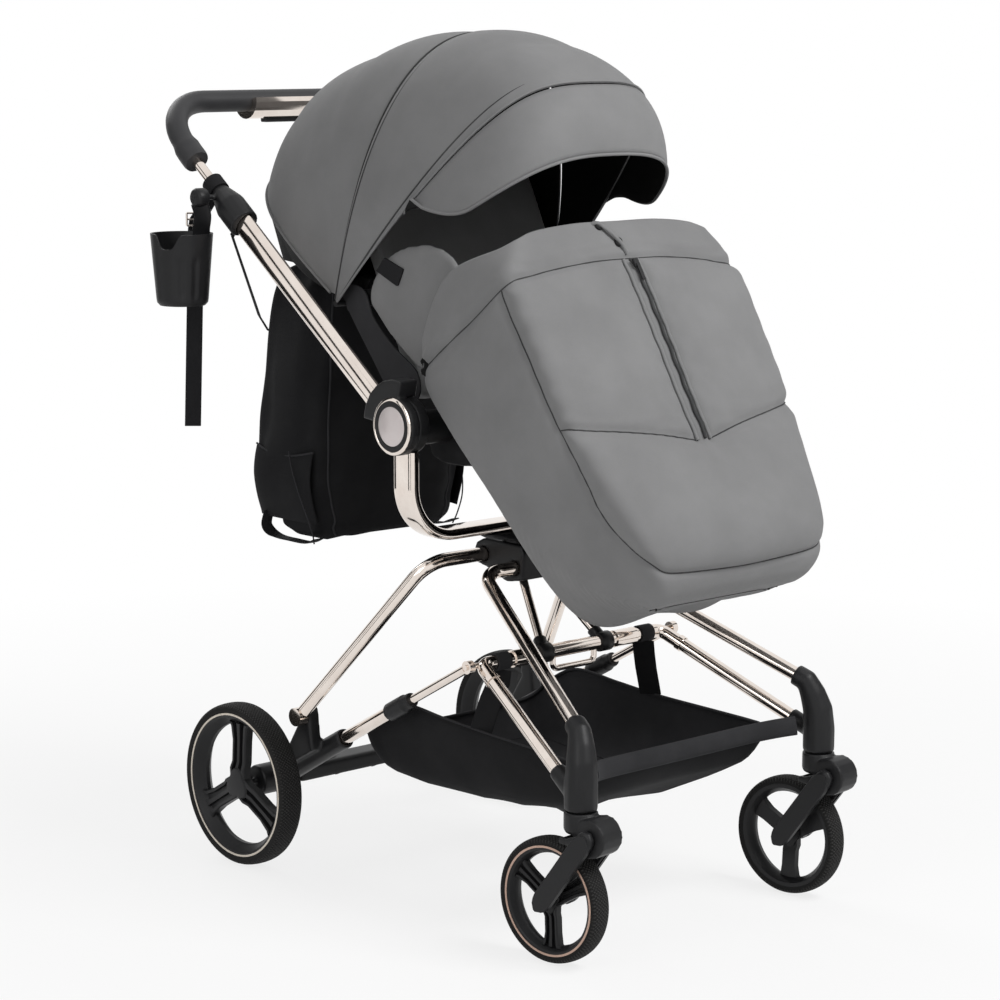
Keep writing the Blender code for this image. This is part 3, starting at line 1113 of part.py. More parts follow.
# Footmuff: rows run from the slit under the feet, round the side and over the top
# Each station: piping corner (y, z), low side edge (y, z), half widths there, crown, underside (y, z)
MUFF_STATIONS = (
    ((0.205, 0.950), (0.330, 0.800), 0.190, 0.205, 0.016, None),
    ((0.162, 0.883), (0.322, 0.757), 0.219, 0.219, 0.026, None),
    ((0.108, 0.797), (0.268, 0.697), 0.219, 0.219, 0.026, None),
    ((0.054, 0.710), (0.205, 0.632), 0.214, 0.216, 0.024, None),
    ((-0.003, 0.626), (0.131, 0.552), 0.192, 0.200, 0.022, (0.128, 0.419)),
    ((-0.060, 0.542), (0.054, 0.496), 0.163, 0.172, 0.018, (0.050, 0.428)),
    ((-0.058, 0.500), (-0.018, 0.476), 0.140, 0.140, 0.008, (-0.016, 0.458)),
    ((-0.040, 0.478), (-0.030, 0.472), 0.100, 0.096, 0.003, (-0.028, 0.4675)),
)


def muff_row(corner, low, corner_half, low_half, crown, under):
    out = Vector((0.0, -0.848, 0.530))
    corner = Vector((0.0, *corner))
    low = Vector((0.0, *low))
    half = [low + Vector((low_half, 0, 0)), (low + corner) / 2 + Vector((max(low_half, corner_half) + 0.002, 0, 0)),
            corner + Vector((corner_half, 0, 0)) - out * 0.004, corner + Vector((corner_half * 0.82, 0, 0)) + out * crown * 0.55,
            corner + Vector((corner_half * 0.42, 0, 0)) + out * crown * 0.95]
    if under is None:
        below = [low + Vector((low_half - MUFF_HEM, 0, 0)), low + Vector((low_half - MUFF_HEM / 2, 0, 0))]
    else:
        below = [Vector((0.0, *under)), Vector((low_half * 0.6, *under))]
    half = below + half
    centre = corner + out * crown
    return half + [centre] + mirrored_x(reversed(half))


muff = skin("footmuff", [muff_row(*station) for station in MUFF_STATIONS], GREY, SEAT_UNIT, MUFF_WALL, 1)
for left in (True, False):
    join(muff, block("muff_tab", (0.032, 0.030, 0.014), CLOTH, SEAT_UNIT,
                     flip((PAN_HALF_WIDTH + SEAT_GAP + 0.016, 0.206, 0.641), left)))
zip_high = Vector((0.0, *ZIP_TOP))
zip_low = Vector((0.0, *ZIP_BOTTOM))
zip_line = (zip_low - zip_high).normalized()
zip_out = Vector((0.0, zip_line.z, -zip_line.y))
zip_turn = Matrix((Vector((1, 0, 0)), zip_line, Vector((1, 0, 0)).cross(zip_line))).transposed().to_euler()
track_length = (zip_low - zip_high).length + 0.020
track_middle = (zip_high + zip_low) / 2 - zip_out * TRACK_HEIGHT / 2
join(muff, block("zip_track", (TRACK_WIDTH, track_length, TRACK_HEIGHT), BLACK, SEAT_UNIT, track_middle, turn=zip_turn))
ZIP = carrier("zip_axis", zip_high, SEAT_UNIT)
slider_at = zip_high + zip_out * (SLIDER_SIZE[2] / 2 + SEAT_GAP) + zip_line * SLIDER_SIZE[1]
slider = block("zip_slider", SLIDER_SIZE, BLACK, ZIP, slider_at, 0.001, zip_turn)
join(slider, block("zip_pull", (0.006, 0.024, 0.0018), BLACK, ZIP,
                   slider_at + zip_out * 0.0022 + zip_line * 0.014, turn=zip_turn))


# Canopy: nested shells over one hinge line, so that the front folds back outside the rear

def arch(angle, radius, half_width, first, count=11):
    """One rib: from a low side point, over the top, to the other side."""
    theta = math.radians(angle)
    points = []
    for number in range(count):
        turn = first + (math.pi - 2 * first) * number / (count - 1)
        reach = radius * math.sin(turn) ** RIB_ROUNDNESS
        x = half_width * math.copysign(abs(math.cos(turn)) ** RIB_FULLNESS, math.cos(turn))
        points.append((x, hinge_y + reach * math.cos(theta), hinge_z + reach * math.sin(theta)))
    return points


CANOPY_FRONT = carrier("canopy_front_axis", (0.0, *CANOPY_HINGE), BACKREST)
for name, holder, angles, radii, width in (
        ("canopy_rear", BACKREST, REAR_ANGLES, REAR_RADII, REAR_HALF_WIDTH),
        ("canopy_front", CANOPY_FRONT, FRONT_ANGLES, FRONT_RADII, FRONT_HALF_WIDTH)):
    rows = [arch(angle, radius, width, 0.006) for angle, radius in zip(angles, radii)]
    shell = skin(name, rows, GREY, holder, CANOPY_WALL)
    for left in (True, False):
        join(shell, rod("canopy_hub", flip((width - CANOPY_HUB_THICKNESS, hinge_y, hinge_z), left),
                        flip((width, hinge_y, hinge_z), left), CANOPY_HUB_RADIUS, GREY, holder, 12))
    for left in (True, False):
        cut(shell, rod("canopy_hub_bore", flip((width - 0.01, hinge_y, hinge_z), left),
                       flip((width + 0.01, hinge_y, hinge_z), left), 0.004 + SEAT_GAP, GREY, holder, 10))

visor_hinge = arch(FRONT_ANGLES[-1], FRONT_RADII[-1], FRONT_HALF_WIDTH, 0.006)[5]
VISOR = carrier("visor_axis", visor_hinge, CANOPY_FRONT)
visor_rows = []
for angle, radius, half_width in zip(VISOR_ANGLES, VISOR_RADII, VISOR_HALF_WIDTHS):
    visor_rows.append(arch(angle, radius, half_width, 0.42))
skin("canopy_visor", visor_rows, GREY, VISOR, CANOPY_WALL)


# Basket: an open fabric tray slung between the elbows, the crossbar and the lower tubes

BASKET_RIM = ((0.062, 0.168, 0.240), (0.150, 0.172, 0.272), (0.258, 0.160, 0.312), (0.400, 0.166, 0.250), (0.520, 0.166, 0.196))


def basket_ring(sink, inset):
    right = [Vector((half - inset, y + (0.012 if y < 0.1 else -0.012 if y > 0.5 else 0.0) * inset / 0.03, z))
             for y, half, z in BASKET_RIM]
    ring_points = right + mirrored_x(reversed(right))
    if sink > 0.0:
        ring_points = [Vector((p.x, p.y, p.z + (BASKET_BOTTOM - p.z) * sink)) for p in ring_points]
    return ring_points


basket_rows = [basket_ring(0.0, 0.0), basket_ring(*BASKET_BELLY), basket_ring(1.0, BASKET_INSET)]
basket = skin("basket", basket_rows, SLATE, PRAM, BASKET_WALL, closed=True, capped=True, side=1.0)
loop_outer = CROSSBAR_RADIUS + SEAT_GAP + BASKET_LOOP_WALL
for left in (True, False):
    tab_at = (BASKET_LOOP[1] - SIDE_GAP, corner.y, corner.z - BASKET_TAB_DROP)
    tab = block("basket_tab", BASKET_TAB, SLATE, PRAM, flip(tab_at, left))
    loop = rod("basket_loop", flip((BASKET_LOOP[0], corner.y, corner.z), left),
               flip((BASKET_LOOP[1], corner.y, corner.z), left), loop_outer, SLATE, PRAM, 16)
    join(basket, tab, loop)
    cut(basket, rod("basket_loop_bore", flip((BASKET_LOOP[0] - 0.01, corner.y, corner.z), left),
                    flip((BASKET_LOOP[1] + 0.02, corner.y, corner.z), left), CROSSBAR_RADIUS + SEAT_GAP, SLATE, PRAM, 20))


# Changing bag with its two straps

def bag_ring(z, front, rear, half):
    points = []
    for number in range(12):
        angle = 2 * math.pi * (number + 0.5) / 12
        x = half * math.copysign(abs(math.cos(angle)) ** 0.45, math.cos(angle))
        y = (front + rear) / 2 + (rear - front) / 2 * math.copysign(abs(math.sin(angle)) ** 0.5, math.sin(angle))
        points.append((x, y, z))
    return points


bag = loft("bag_body", [bag_ring(BAG_TOP, BAG_FRONT_Y + 0.020, BAG_REAR_Y - 0.070, BAG_HALF_WIDTH - 0.040),
                        bag_ring(BAG_TOP - 0.035, BAG_FRONT_Y + 0.004, BAG_REAR_Y - 0.034, BAG_HALF_WIDTH - 0.012),
                        bag_ring(BAG_TOP - 0.130, BAG_FRONT_Y, BAG_REAR_Y - 0.008, BAG_HALF_WIDTH),
                        bag_ring(BAG_BOTTOM + 0.110, BAG_FRONT_Y, BAG_REAR_Y, BAG_HALF_WIDTH),
                        bag_ring(BAG_BOTTOM + 0.030, BAG_FRONT_Y, BAG_REAR_Y - 0.024, BAG_HALF_WIDTH),
                        bag_ring(BAG_BOTTOM, BAG_FRONT_Y + 0.010, BAG_REAR_Y - 0.050, BAG_HALF_WIDTH - 0.016)],
           CLOTH, BACKREST)
for left in (True, False):
    strap_root = Vector((BAG_HALF_WIDTH - 0.022, (BAG_FRONT_Y + BAG_REAR_Y) / 2, BAG_TOP - 0.075))
    strap_tip = Vector(BAG_STRAP_END)
    line = (strap_tip - strap_root).normalized()
    across_line = Vector((0.0, 1.0, 0.0))
    turn = Matrix((line.cross(across_line).cross(line).normalized(), line,
                   line.cross(across_line).cross(line).normalized().cross(line))).transposed()
    band = block("bag_strap", (0.018, (strap_tip - strap_root).length, 0.003), CLOTH, BACKREST,
                 (strap_root + strap_tip) / 2)
    if left:
        band.rotation_euler = turn.to_euler()
    else:
        band.rotation_euler = (Matrix.Diagonal((-1.0, 1.0, 1.0)) @ turn @ Matrix.Diagonal((-1.0, 1.0, 1.0))).to_euler()
        band.location.x = -band.location.x
    join(bag, band)


# The origin goes to the middle of the footprint

bpy.context.view_layer.update()
graph = bpy.context.evaluated_depsgraph_get()
lowest = Vector((1e9, 1e9, 1e9))
highest = -lowest
for piece in PARTS.objects:
    if piece.type != "EMPTY":
        seen = piece.evaluated_get(graph)
        for vertex in seen.to_mesh().vertices:
            spot = piece.matrix_world @ vertex.co
            lowest = Vector(map(min, lowest, spot))
            highest = Vector(map(max, highest, spot))
        seen.to_mesh_clear()
PRAM.location = (-(lowest.x + highest.x) / 2, -(lowest.y + highest.y) / 2, -lowest.z)
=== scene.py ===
"""A two-in-one pram in mid-grey fabric on a champagne-chromed folding frame."""
import json
import math

import bmesh
import bpy
import numpy as np
from mathutils import Matrix, Vector


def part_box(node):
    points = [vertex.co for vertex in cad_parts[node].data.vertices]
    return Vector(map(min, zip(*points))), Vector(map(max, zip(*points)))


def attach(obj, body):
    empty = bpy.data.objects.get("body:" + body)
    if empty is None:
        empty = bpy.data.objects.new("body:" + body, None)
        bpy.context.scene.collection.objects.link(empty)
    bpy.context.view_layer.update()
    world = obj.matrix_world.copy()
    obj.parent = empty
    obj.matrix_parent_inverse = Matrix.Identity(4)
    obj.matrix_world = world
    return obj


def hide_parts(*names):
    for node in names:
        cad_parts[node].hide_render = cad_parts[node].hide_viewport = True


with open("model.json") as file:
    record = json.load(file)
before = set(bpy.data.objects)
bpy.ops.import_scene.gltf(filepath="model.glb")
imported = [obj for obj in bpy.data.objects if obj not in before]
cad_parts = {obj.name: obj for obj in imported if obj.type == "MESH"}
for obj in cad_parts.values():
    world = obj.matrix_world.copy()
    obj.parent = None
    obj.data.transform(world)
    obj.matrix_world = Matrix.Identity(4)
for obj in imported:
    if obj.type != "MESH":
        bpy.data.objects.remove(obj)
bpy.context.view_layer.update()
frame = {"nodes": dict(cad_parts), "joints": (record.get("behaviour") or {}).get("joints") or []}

# The set: a white sweep under soft light, with the camera at the eye height of somebody standing
# a few steps in front of the pram, on its right.
rear_left, rear_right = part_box("rear_tyre_left"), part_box("rear_tyre_right")
REAR_WHEEL_Y = 0.678
SHIFT = Vector(((rear_left[1].x + rear_right[0].x) / 2, (rear_left[0].y + rear_left[1].y) / 2
                - REAR_WHEEL_Y, 0.0))


def spot(x, y, z):
    """A point of the pram: across from its middle, back from its front casters, up from the ground."""
    return Vector((x, y, z)) + SHIFT


CAMERA_TURN = math.radians(-42.159)
CAMERA_TILT = math.radians(9.484)
CAMERA_ROLL = math.radians(0.130)
camera_data = bpy.data.cameras.new("camera")
camera_data.sensor_width = 36.0
camera_data.lens = 102.59
camera = bpy.data.objects.new("camera", camera_data)
look = Matrix.Rotation(CAMERA_TURN, 3, "Z") @ Matrix.Rotation(math.pi / 2 - CAMERA_TILT, 3, "X")
camera.rotation_euler = (look @ Matrix.Rotation(CAMERA_ROLL, 3, "Z")).to_euler()
camera.location = spot(-2.715, -2.5856, 1.2211)
bpy.context.scene.collection.objects.link(camera)
bpy.context.scene.camera = camera
bpy.context.scene.view_settings.view_transform = "Standard"


class Wire:
    """A socket in a material's nodes; sums, products and comparisons of wires add Math nodes."""

    def __init__(self, tree, socket=None):
        self.tree = tree
        self.socket = socket

    def node(self, kind, settings=None, sockets=None, out=0):
        made = self.tree.nodes.new(kind)
        for name, value in (settings or {}).items():
            if name == "stops":
                while len(made.color_ramp.elements) < len(value):
                    made.color_ramp.elements.new(1.0)
                for stop, (place, colour) in zip(made.color_ramp.elements, value):
                    stop.position = place
                    stop.color = (*colour, 1.0)
            else:
                setattr(made, name, value)
        for name, value in (sockets or {}).items():
            if isinstance(value, Wire):
                self.tree.links.new(value.socket, made.inputs[name])
            else:
                made.inputs[name].default_value = value
        return Wire(self.tree, made.outputs[out])

    def maths(self, operation, *values):
        return self.node("ShaderNodeMath", {"operation": operation}, dict(enumerate(values)))

    def __add__(self, other):
        return self.maths("ADD", self, other)

    __radd__ = __add__

    def __sub__(self, other):
        return self.maths("SUBTRACT", self, other)

    def __rsub__(self, other):
        return self.maths("SUBTRACT", other, self)

    def __mul__(self, other):
        return self.maths("MULTIPLY", self, other)

    __rmul__ = __mul__

    def __gt__(self, other):
        return self.maths("GREATER_THAN", self, other)

    def __lt__(self, other):
        return self.maths("LESS_THAN", self, other)

    def mixed(self, first, second):
        """The colour between two colours, by this wire's value."""
        return self.node("ShaderNodeMix", {"data_type": "RGBA"}, {0: self, 6: first, 7: second}, 2)

    def object_place(self):
        """The point's place in its object's own coordinates."""
        return self.node("ShaderNodeTexCoord", None, None, 3)

    def noise(self, scale, detail, **more):
        return self.node("ShaderNodeTexNoise", None, {"Vector": self, "Scale": scale, "Detail": detail,
                                                      **more})

    def wave(self, direction, scale, distortion):
        return self.node("ShaderNodeTexWave", {"bands_direction": direction},
                         {"Vector": self, "Scale": scale, "Distortion": distortion})

    def bump(self, strength, distance):
        return self.node("ShaderNodeBump", None, {"Height": self, "Strength": strength, "Distance": distance})


def surface(name, roughness, metallic=0.0, **plain):
    """A new material: its wire, and a function that feeds its shader's sockets."""
    made = bpy.data.materials.new(name)
    made.use_nodes = True
    tree = made.node_tree
    shader = tree.nodes["Principled BSDF"]
    shader.inputs["Roughness"].default_value = roughness
    shader.inputs["Metallic"].default_value = metallic
    for socket, value in plain.items():
        shader.inputs[socket.replace("_", " ").title().replace("Ior", "IOR")].default_value = value

    def feed(**wires):
        for socket, wire in wires.items():
            target = shader.inputs[socket.replace("_", " ").title()]
            if isinstance(wire, Wire):
                tree.links.new(wire.socket, target)
            else:
                target.default_value = wire
        return made

    return Wire(tree), feed


def mesh_object(name, verts, faces, *finishes, smooth=True):
    data = bpy.data.meshes.new(name)
    data.from_pydata([tuple(v) for v in verts], [], faces)
    data.update()
    shape = bmesh.new()
    shape.from_mesh(data)
    bmesh.ops.recalc_face_normals(shape, faces=shape.faces)
    shape.to_mesh(data)
    shape.free()
    for finish in finishes:
        data.materials.append(finish)
    if smooth:
        data.shade_smooth()
    piece = bpy.data.objects.new(name, data)
    bpy.context.scene.collection.objects.link(piece)
    return piece


def ring_faces(rings, count, first=0, closed=True):
    """The four-sided faces between rings, or between open rows, of points that follow one another."""
    return [(first + ring * count + i, first + ring * count + (i + 1) % count,
             first + (ring + 1) * count + (i + 1) % count, first + (ring + 1) * count + i)
            for ring in range(rings - 1) for i in range(count if closed else count - 1)]


def end_faces(rings, count):
    """The two faces that close the first and the last ring."""
    return [tuple(reversed(range(count))), tuple(range((rings - 1) * count, rings * count))]


wire, feed = surface("pale_floor", 0.9)
floor_finish = feed(base_color=(0.88, 0.88, 0.88, 1.0))
floor = mesh_object("floor", [(-40, -40, -0.001), (40, -40, -0.001), (40, 40, -0.001), (-40, 40, -0.001)],
                    [(0, 1, 2, 3)], floor_finish)
floor_tree = floor_finish.node_tree
paths = wire.node("ShaderNodeLightPath")
ray = paths + Wire(wire.tree, paths.socket.node.outputs["Is Glossy Ray"])
ray = wire.maths("MINIMUM", ray + Wire(wire.tree, paths.socket.node.outputs["Is Transmission Ray"]), 1.0)
away = wire.node("ShaderNodeVectorMath", {"operation": "LENGTH"}, {0: wire.node("ShaderNodeNewGeometry")}, 1)
whiteness = wire.node("ShaderNodeMapRange", None, {0: away, 1: 0.7, 2: 2.2, 3: 0.80, 4: 1.0})
background = wire.node("ShaderNodeEmission", None, {"Color": (1, 1, 1, 1), "Strength": 1.0})
wire.tree.links.new(
    wire.node("ShaderNodeMixShader", None, {
        0: ray * whiteness,
        1: Wire(wire.tree, floor_tree.nodes["Principled BSDF"].outputs[0]),
        2: background}).socket,
    floor_tree.nodes["Material Output"].inputs["Surface"])

world = bpy.data.worlds.new("studio")
world.use_nodes = True
bpy.context.scene.world = world
sky = Wire(world.node_tree)
rays = sky.node("ShaderNodeLightPath")
shows = rays + Wire(sky.tree, rays.socket.node.outputs["Is Glossy Ray"])
shows = sky.maths("MINIMUM", shows + Wire(sky.tree, rays.socket.node.outputs["Is Transmission Ray"]), 1.0)
sky_colour = shows.mixed((0.30, 0.30, 0.30, 1.0), (1.0, 1.0, 1.0, 1.0))
world.node_tree.links.new(sky_colour.socket, world.node_tree.nodes["Background"].inputs["Color"])

# Dark cards stand beside the camera, out of its view, so that plated tubes show an edge.
wire, feed = surface("black_card", 0.9)
card_finish = feed(base_color=(0.004, 0.004, 0.004, 1.0))
for name, turn, wide in (("card_left", 114.0, 1.1), ("card_right", -114.0, 1.1),
                         ("card_side_left", 80.0, 0.3), ("card_side_right", -80.0, 0.3),
                         ("card_low_left", 62.0, 0.28), ("card_low_right", -58.0, 0.28)):
    towards = Matrix.Rotation(CAMERA_TURN + math.radians(turn), 3, "Z") @ Vector((0.0, -1.0, 0.0))
    facing = towards.cross(Vector((0.0, 0.0, 1.0))) * wide / 2
    foot, top = towards * 2.7, towards * 2.7 + Vector((0.0, 0.0, 2.8))
    card = mesh_object(name, [foot - facing, foot + facing, top + facing, top - facing], [(0, 1, 2, 3)],
                       card_finish)
    card.visible_camera = False
    card.visible_shadow = False
    card.visible_diffuse = False

for name, place, aim_at, size, power in (("key_light", (0.6, -2.3, 2.9), (0.0, 0.0, 0.6), 1.3, 72.0),
                                         ("fill_light", (-3.0, -0.9, 1.9), (0.0, 0.0, 0.6), 1.8, 20.0),
                                         ("back_light", (0.4, 3.0, 2.6), (0.0, 0.1, 0.7), 1.6, 30.0)):
    lamp_data = bpy.data.lights.new(name, "AREA")
    lamp_data.size = size
    lamp_data.energy = power
    lamp = bpy.data.objects.new(name, lamp_data)
    lamp.location = place
    lamp.rotation_euler = (Vector(aim_at) - Vector(place)).to_track_quat("-Z", "Y").to_euler()
    bpy.context.scene.collection.objects.link(lamp)


# Chassis tubes: drawn steel, 20 mm across, bent, then plated in champagne-tinted chrome. The front
# leg is one U whose middle runs through the hub; the diagonals brace the elbows to the crossbar.
def champagne_chrome(name):
    wire, feed = surface(name, 0.09, 1.0)
    place = wire.object_place()
    smear = place.noise(34.0, 5.0, Roughness=0.6)
    ripple = place.noise(9.0, 2.0)
    warmth = smear.node("ShaderNodeValToRGB", {"stops": [(0.3, (0.74, 0.66, 0.60)),
                                                         (0.7, (0.82, 0.75, 0.69))]}, {0: smear})
    return feed(base_color=warmth, roughness=smear * 0.10 + 0.04, normal=ripple.bump(0.05, 0.002))


chrome = champagne_chrome("champagne_chrome")


def rounded(corners, bends, steps=14):
    """A route through corner points, its inner corners eased into arcs."""
    corners = [Vector(c) for c in corners]
    points = [corners[0]]
    for before, corner, after, bend in zip(corners, corners[1:], corners[2:], bends):
        back, ahead = (before - corner).normalized(), (after - corner).normalized()
        half = back.angle(ahead) / 2
        centre = corner + (back + ahead).normalized() * bend / math.sin(half)
        first = (corner + back * bend / math.tan(half) - centre).normalized()
        last = (corner + ahead * bend / math.tan(half) - centre).normalized()
        points += [centre + first.slerp(last, step / steps) * bend for step in range(steps + 1)]
    points.append(corners[-1])
    return points


def there_and_back(points):
    """A symmetric route: one half, ending on the middle plane, then its mirror image."""
    return list(points) + [Vector((-p.x, p.y, p.z)) for p in reversed(points[:-1])]


def tube(name, route, radius, finish, body, stands_for=(), radii=None):
    """A bent round tube along a route of pram points, standing for CAD nodes."""
    curve = bpy.data.curves.new(name, "CURVE")
    curve.dimensions = "3D"
    curve.bevel_depth = radius
    curve.bevel_resolution = 8
    curve.use_fill_caps = True
    line = curve.splines.new("POLY")
    line.points.add(len(route) - 1)
    for knot, point in zip(line.points, route):
        knot.co = (*spot(*point), 1.0)
    if radii is not None:
        for knot, share in zip(line.points, radii):
            knot.radius = share
    line.use_smooth = True
    curve.materials.append(finish)
    piece = bpy.data.objects.new(name, curve)
    bpy.context.scene.collection.objects.link(piece)
    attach(piece, body)
    if stands_for:
        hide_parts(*stands_for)
    return piece


def both_sides(point, left):
    return Vector((point[0] if left else -point[0], point[1], point[2]))


ELBOW_TOP = Vector((0.2165, 0.024, 0.319))
FRONT_BAR = Vector((0.103, 0.335, 0.462))
CROSSBAR_CORNER = Vector((0.174, 0.258, 0.355))
DIAGONAL_PIN = Vector((0.2276, 0.044, 0.254))
front_leg_foot = ELBOW_TOP - (FRONT_BAR - ELBOW_TOP).normalized() * 0.012
tube("front_leg", there_and_back(rounded([front_leg_foot, FRONT_BAR, (0.0, FRONT_BAR.y, FRONT_BAR.z)],
                                         [0.045])), 0.010, chrome, "chassis", ("front_leg_tube",))
brace = (DIAGONAL_PIN - CROSSBAR_CORNER).normalized()
for side in ("left", "right"):
    left = side == "left"
    tube("diagonal_" + side, [both_sides(CROSSBAR_CORNER + brace * 0.0423, left),
                              both_sides(DIAGONAL_PIN + brace * 0.010, left)], 0.010, chrome, "chassis",
         ("diagonal_tube_" + side,))
tube("crossbar_tube", there_and_back(rounded([CROSSBAR_CORNER + brace * 0.042, CROSSBAR_CORNER,
                                              (0.0, CROSSBAR_CORNER.y, CROSSBAR_CORNER.z)], [0.018])),
     0.010, chrome, "chassis", ("crossbar",))
bar_y, bar_z = CROSSBAR_CORNER.y, CROSSBAR_CORNER.z
for side in (1, -1):
    tube(f"crossbar_sleeve{side}", [(side * 0.078, bar_y, bar_z), (side * 0.118, bar_y, bar_z)], 0.0122,
         chrome, "chassis")
    collar = [CROSSBAR_CORNER + brace * run for run in (0.034, 0.042)]
    tube(f"crossbar_collar{side}", [both_sides(p, side > 0) for p in collar], 0.0116, chrome, "chassis")
    tube(f"link_pin{side}", [(side * 0.165, bar_y, bar_z), (side * 0.2045, bar_y, bar_z)], 0.004, chrome,
         "chassis")
tube("crossbar_loop", there_and_back(rounded([(0.040, bar_y, bar_z - 0.004), (0.040, bar_y, bar_z - 0.026),
                                              (0.0, bar_y, bar_z - 0.026)], [0.009])), 0.0045, chrome,
     "chassis")

# Rear legs: the same plated tube, a U whose middle turns in the hub, with its ends pinned to the
# rear housings. The thin tubes slide inside the lower tubes when the frame folds.
REAR_BAR = Vector((0.150, 0.400, 0.474))
REAR_PIVOT = Vector((0.235, 0.583, 0.233))
rear_leg_line = (REAR_PIVOT - REAR_BAR).normalized()
tube("rear_leg", there_and_back(rounded([REAR_PIVOT - rear_leg_line * 0.010, REAR_BAR,
                                         (0.0, REAR_BAR.y, REAR_BAR.z)], [0.045])), 0.010, chrome,
     "rear_legs", ("rear_leg_tube",))
for side in (1, -1):
    tube(f"rear_leg_eye{side}", [(side * 0.2295, REAR_PIVOT.y, REAR_PIVOT.z),
                                 (side * 0.2453, REAR_PIVOT.y, REAR_PIVOT.z)], 0.0135, chrome, "rear_legs")

wire, feed = surface("moulded_black", 0.42, specular_ior_level=0.26)
place = wire.object_place()
spark = place.noise(1400.0, 1.0)
cloud = place.noise(22.0, 3.0)
moulded = feed(base_color=cloud.mixed((0.008, 0.008, 0.009, 1), (0.016, 0.016, 0.017, 1)),
               roughness=cloud * 0.12 + 0.38, normal=spark.bump(0.12, 0.0002))


def repaint(node, *finishes):
    """A CAD node that keeps its shape gets its finish."""
    slots = frame["nodes"][node].material_slots
    for number, finish in enumerate(finishes):
        slots[number].material = finish


LINK_START = Vector((0.0, bar_y, bar_z))
REAR_AXLE = Vector((0.0, REAR_WHEEL_Y, 0.120))
link_line = (REAR_AXLE - LINK_START).normalized()
for side in ("left", "right"):
    left = side == "left"

    def on_link(run):
        point = LINK_START + link_line * run
        return both_sides((0.197, point.y, point.z), left)

    tube("slide_" + side, [on_link(0.0065), on_link(0.260)], 0.0065, chrome, "lower_links",
         ("rear_slide_tube_" + side,))
    tube("slide_eye_" + side, [both_sides((0.1922, bar_y, bar_z), left),
                               both_sides((0.2018, bar_y, bar_z), left)], 0.0092, chrome, "lower_links")
    tube("lower_" + side, [on_link(0.186), on_link(0.322)], 0.0099, chrome, "rear_carriage",
         ("rear_lower_tube_" + side,))
    clamp = [on_link(run) for run in (0.137, 0.1385, 0.141, 0.150, 0.152, 0.154, 0.180, 0.190, 0.192)]
    tube("tube_clamp_" + side, clamp, 0.0132, moulded, "rear_carriage",
         radii=[0.78, 0.82, 0.84, 0.84, 0.98, 1.0, 1.0, 1.0, 0.93])

# Hub, struts and elbows: glass-filled nylon mouldings in matt black. The struts are plated rods
# that end in black clips round the crossbar.


def cast(node, body, voxel=0.0022, rounds=7):
    """A moulding of its node's form, its edges and corners eased as they come from the mould."""
    source = frame["nodes"][node]
    shape = source.data.copy()
    shape.transform(source.matrix_world)
    piece = bpy.data.objects.new(node + "_moulding", shape)
    bpy.context.scene.collection.objects.link(piece)
    fine = piece.modifiers.new("Voxels", "REMESH")
    fine.mode = "VOXEL"
    fine.voxel_size = voxel
    ease = piece.modifiers.new("Ease", "SMOOTH")
    ease.factor = 0.5
    ease.iterations = rounds
    thin_out = piece.modifiers.new("Fewer", "DECIMATE")
    thin_out.ratio = 0.4
    done = bpy.data.meshes.new_from_object(piece.evaluated_get(bpy.context.evaluated_depsgraph_get()))
    piece.modifiers.clear()
    piece.data = done
    done.materials.clear()
    done.materials.append(moulded)
    done.shade_smooth()
    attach(piece, body)
    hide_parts(node)
    return piece


for node, body in (("hub_bracket", "chassis"), ("turntable_disc", "seat_unit"),
                   ("rear_axle_beam", "rear_carriage")):
    cast(node, body)
cast("brake_pedal", "brake", 0.0015, 4)
for side in ("left", "right"):
    cast("front_elbow_" + side, "chassis", 0.0020, 16)
    cast("rear_housing_" + side, "rear_carriage", 0.0022, 12)
    cast("caster_head_" + side, "caster_" + side, 0.0016, 8)
    cast("front_fork_" + side, "fork_" + side, 0.0018, 6)
    cast("pivot_housing_" + side, "seat_unit", 0.0018, 5)
    cast("handle_knuckle_" + side, "handle", 0.0018, 8)
    cast("handle_coupler_" + side, "handle", 0.0014, 8)
strut_high = Vector((0.023, 0.340, 0.4462))
strut_low = Vector((0.058, bar_y, bar_z))
strut_line = (strut_low - strut_high).normalized()
for side in ("left", "right"):
    left = side == "left"
    tube("strut_" + side, [both_sides(strut_high, left), both_sides(strut_low - strut_line * 0.0112, left)],
         0.0065, chrome, "chassis", ("hub_strut_" + side,))
    tube("strut_clip_" + side, [both_sides((0.0470, bar_y, bar_z), left),
                                both_sides((0.0485, bar_y, bar_z), left),
                                both_sides((0.0675, bar_y, bar_z), left),
                                both_sides((0.0690, bar_y, bar_z), left)], 0.0142, moulded, "chassis",
         radii=[0.9, 1.0, 1.0, 0.9])
    tube("strut_cup_" + side, [both_sides(strut_low, left), both_sides(strut_low - strut_line * 0.022, left),
                               both_sides(strut_low - strut_line * 0.024, left)], 0.0095, moulded, "chassis",
         radii=[1.0, 1.0, 0.86])

# Wheels: foamed tyres with a diamond tread on deep dished rims of moulded nylon, with three spokes
# that carry two grooves each and a coloured ring pressed in beside the tyre.


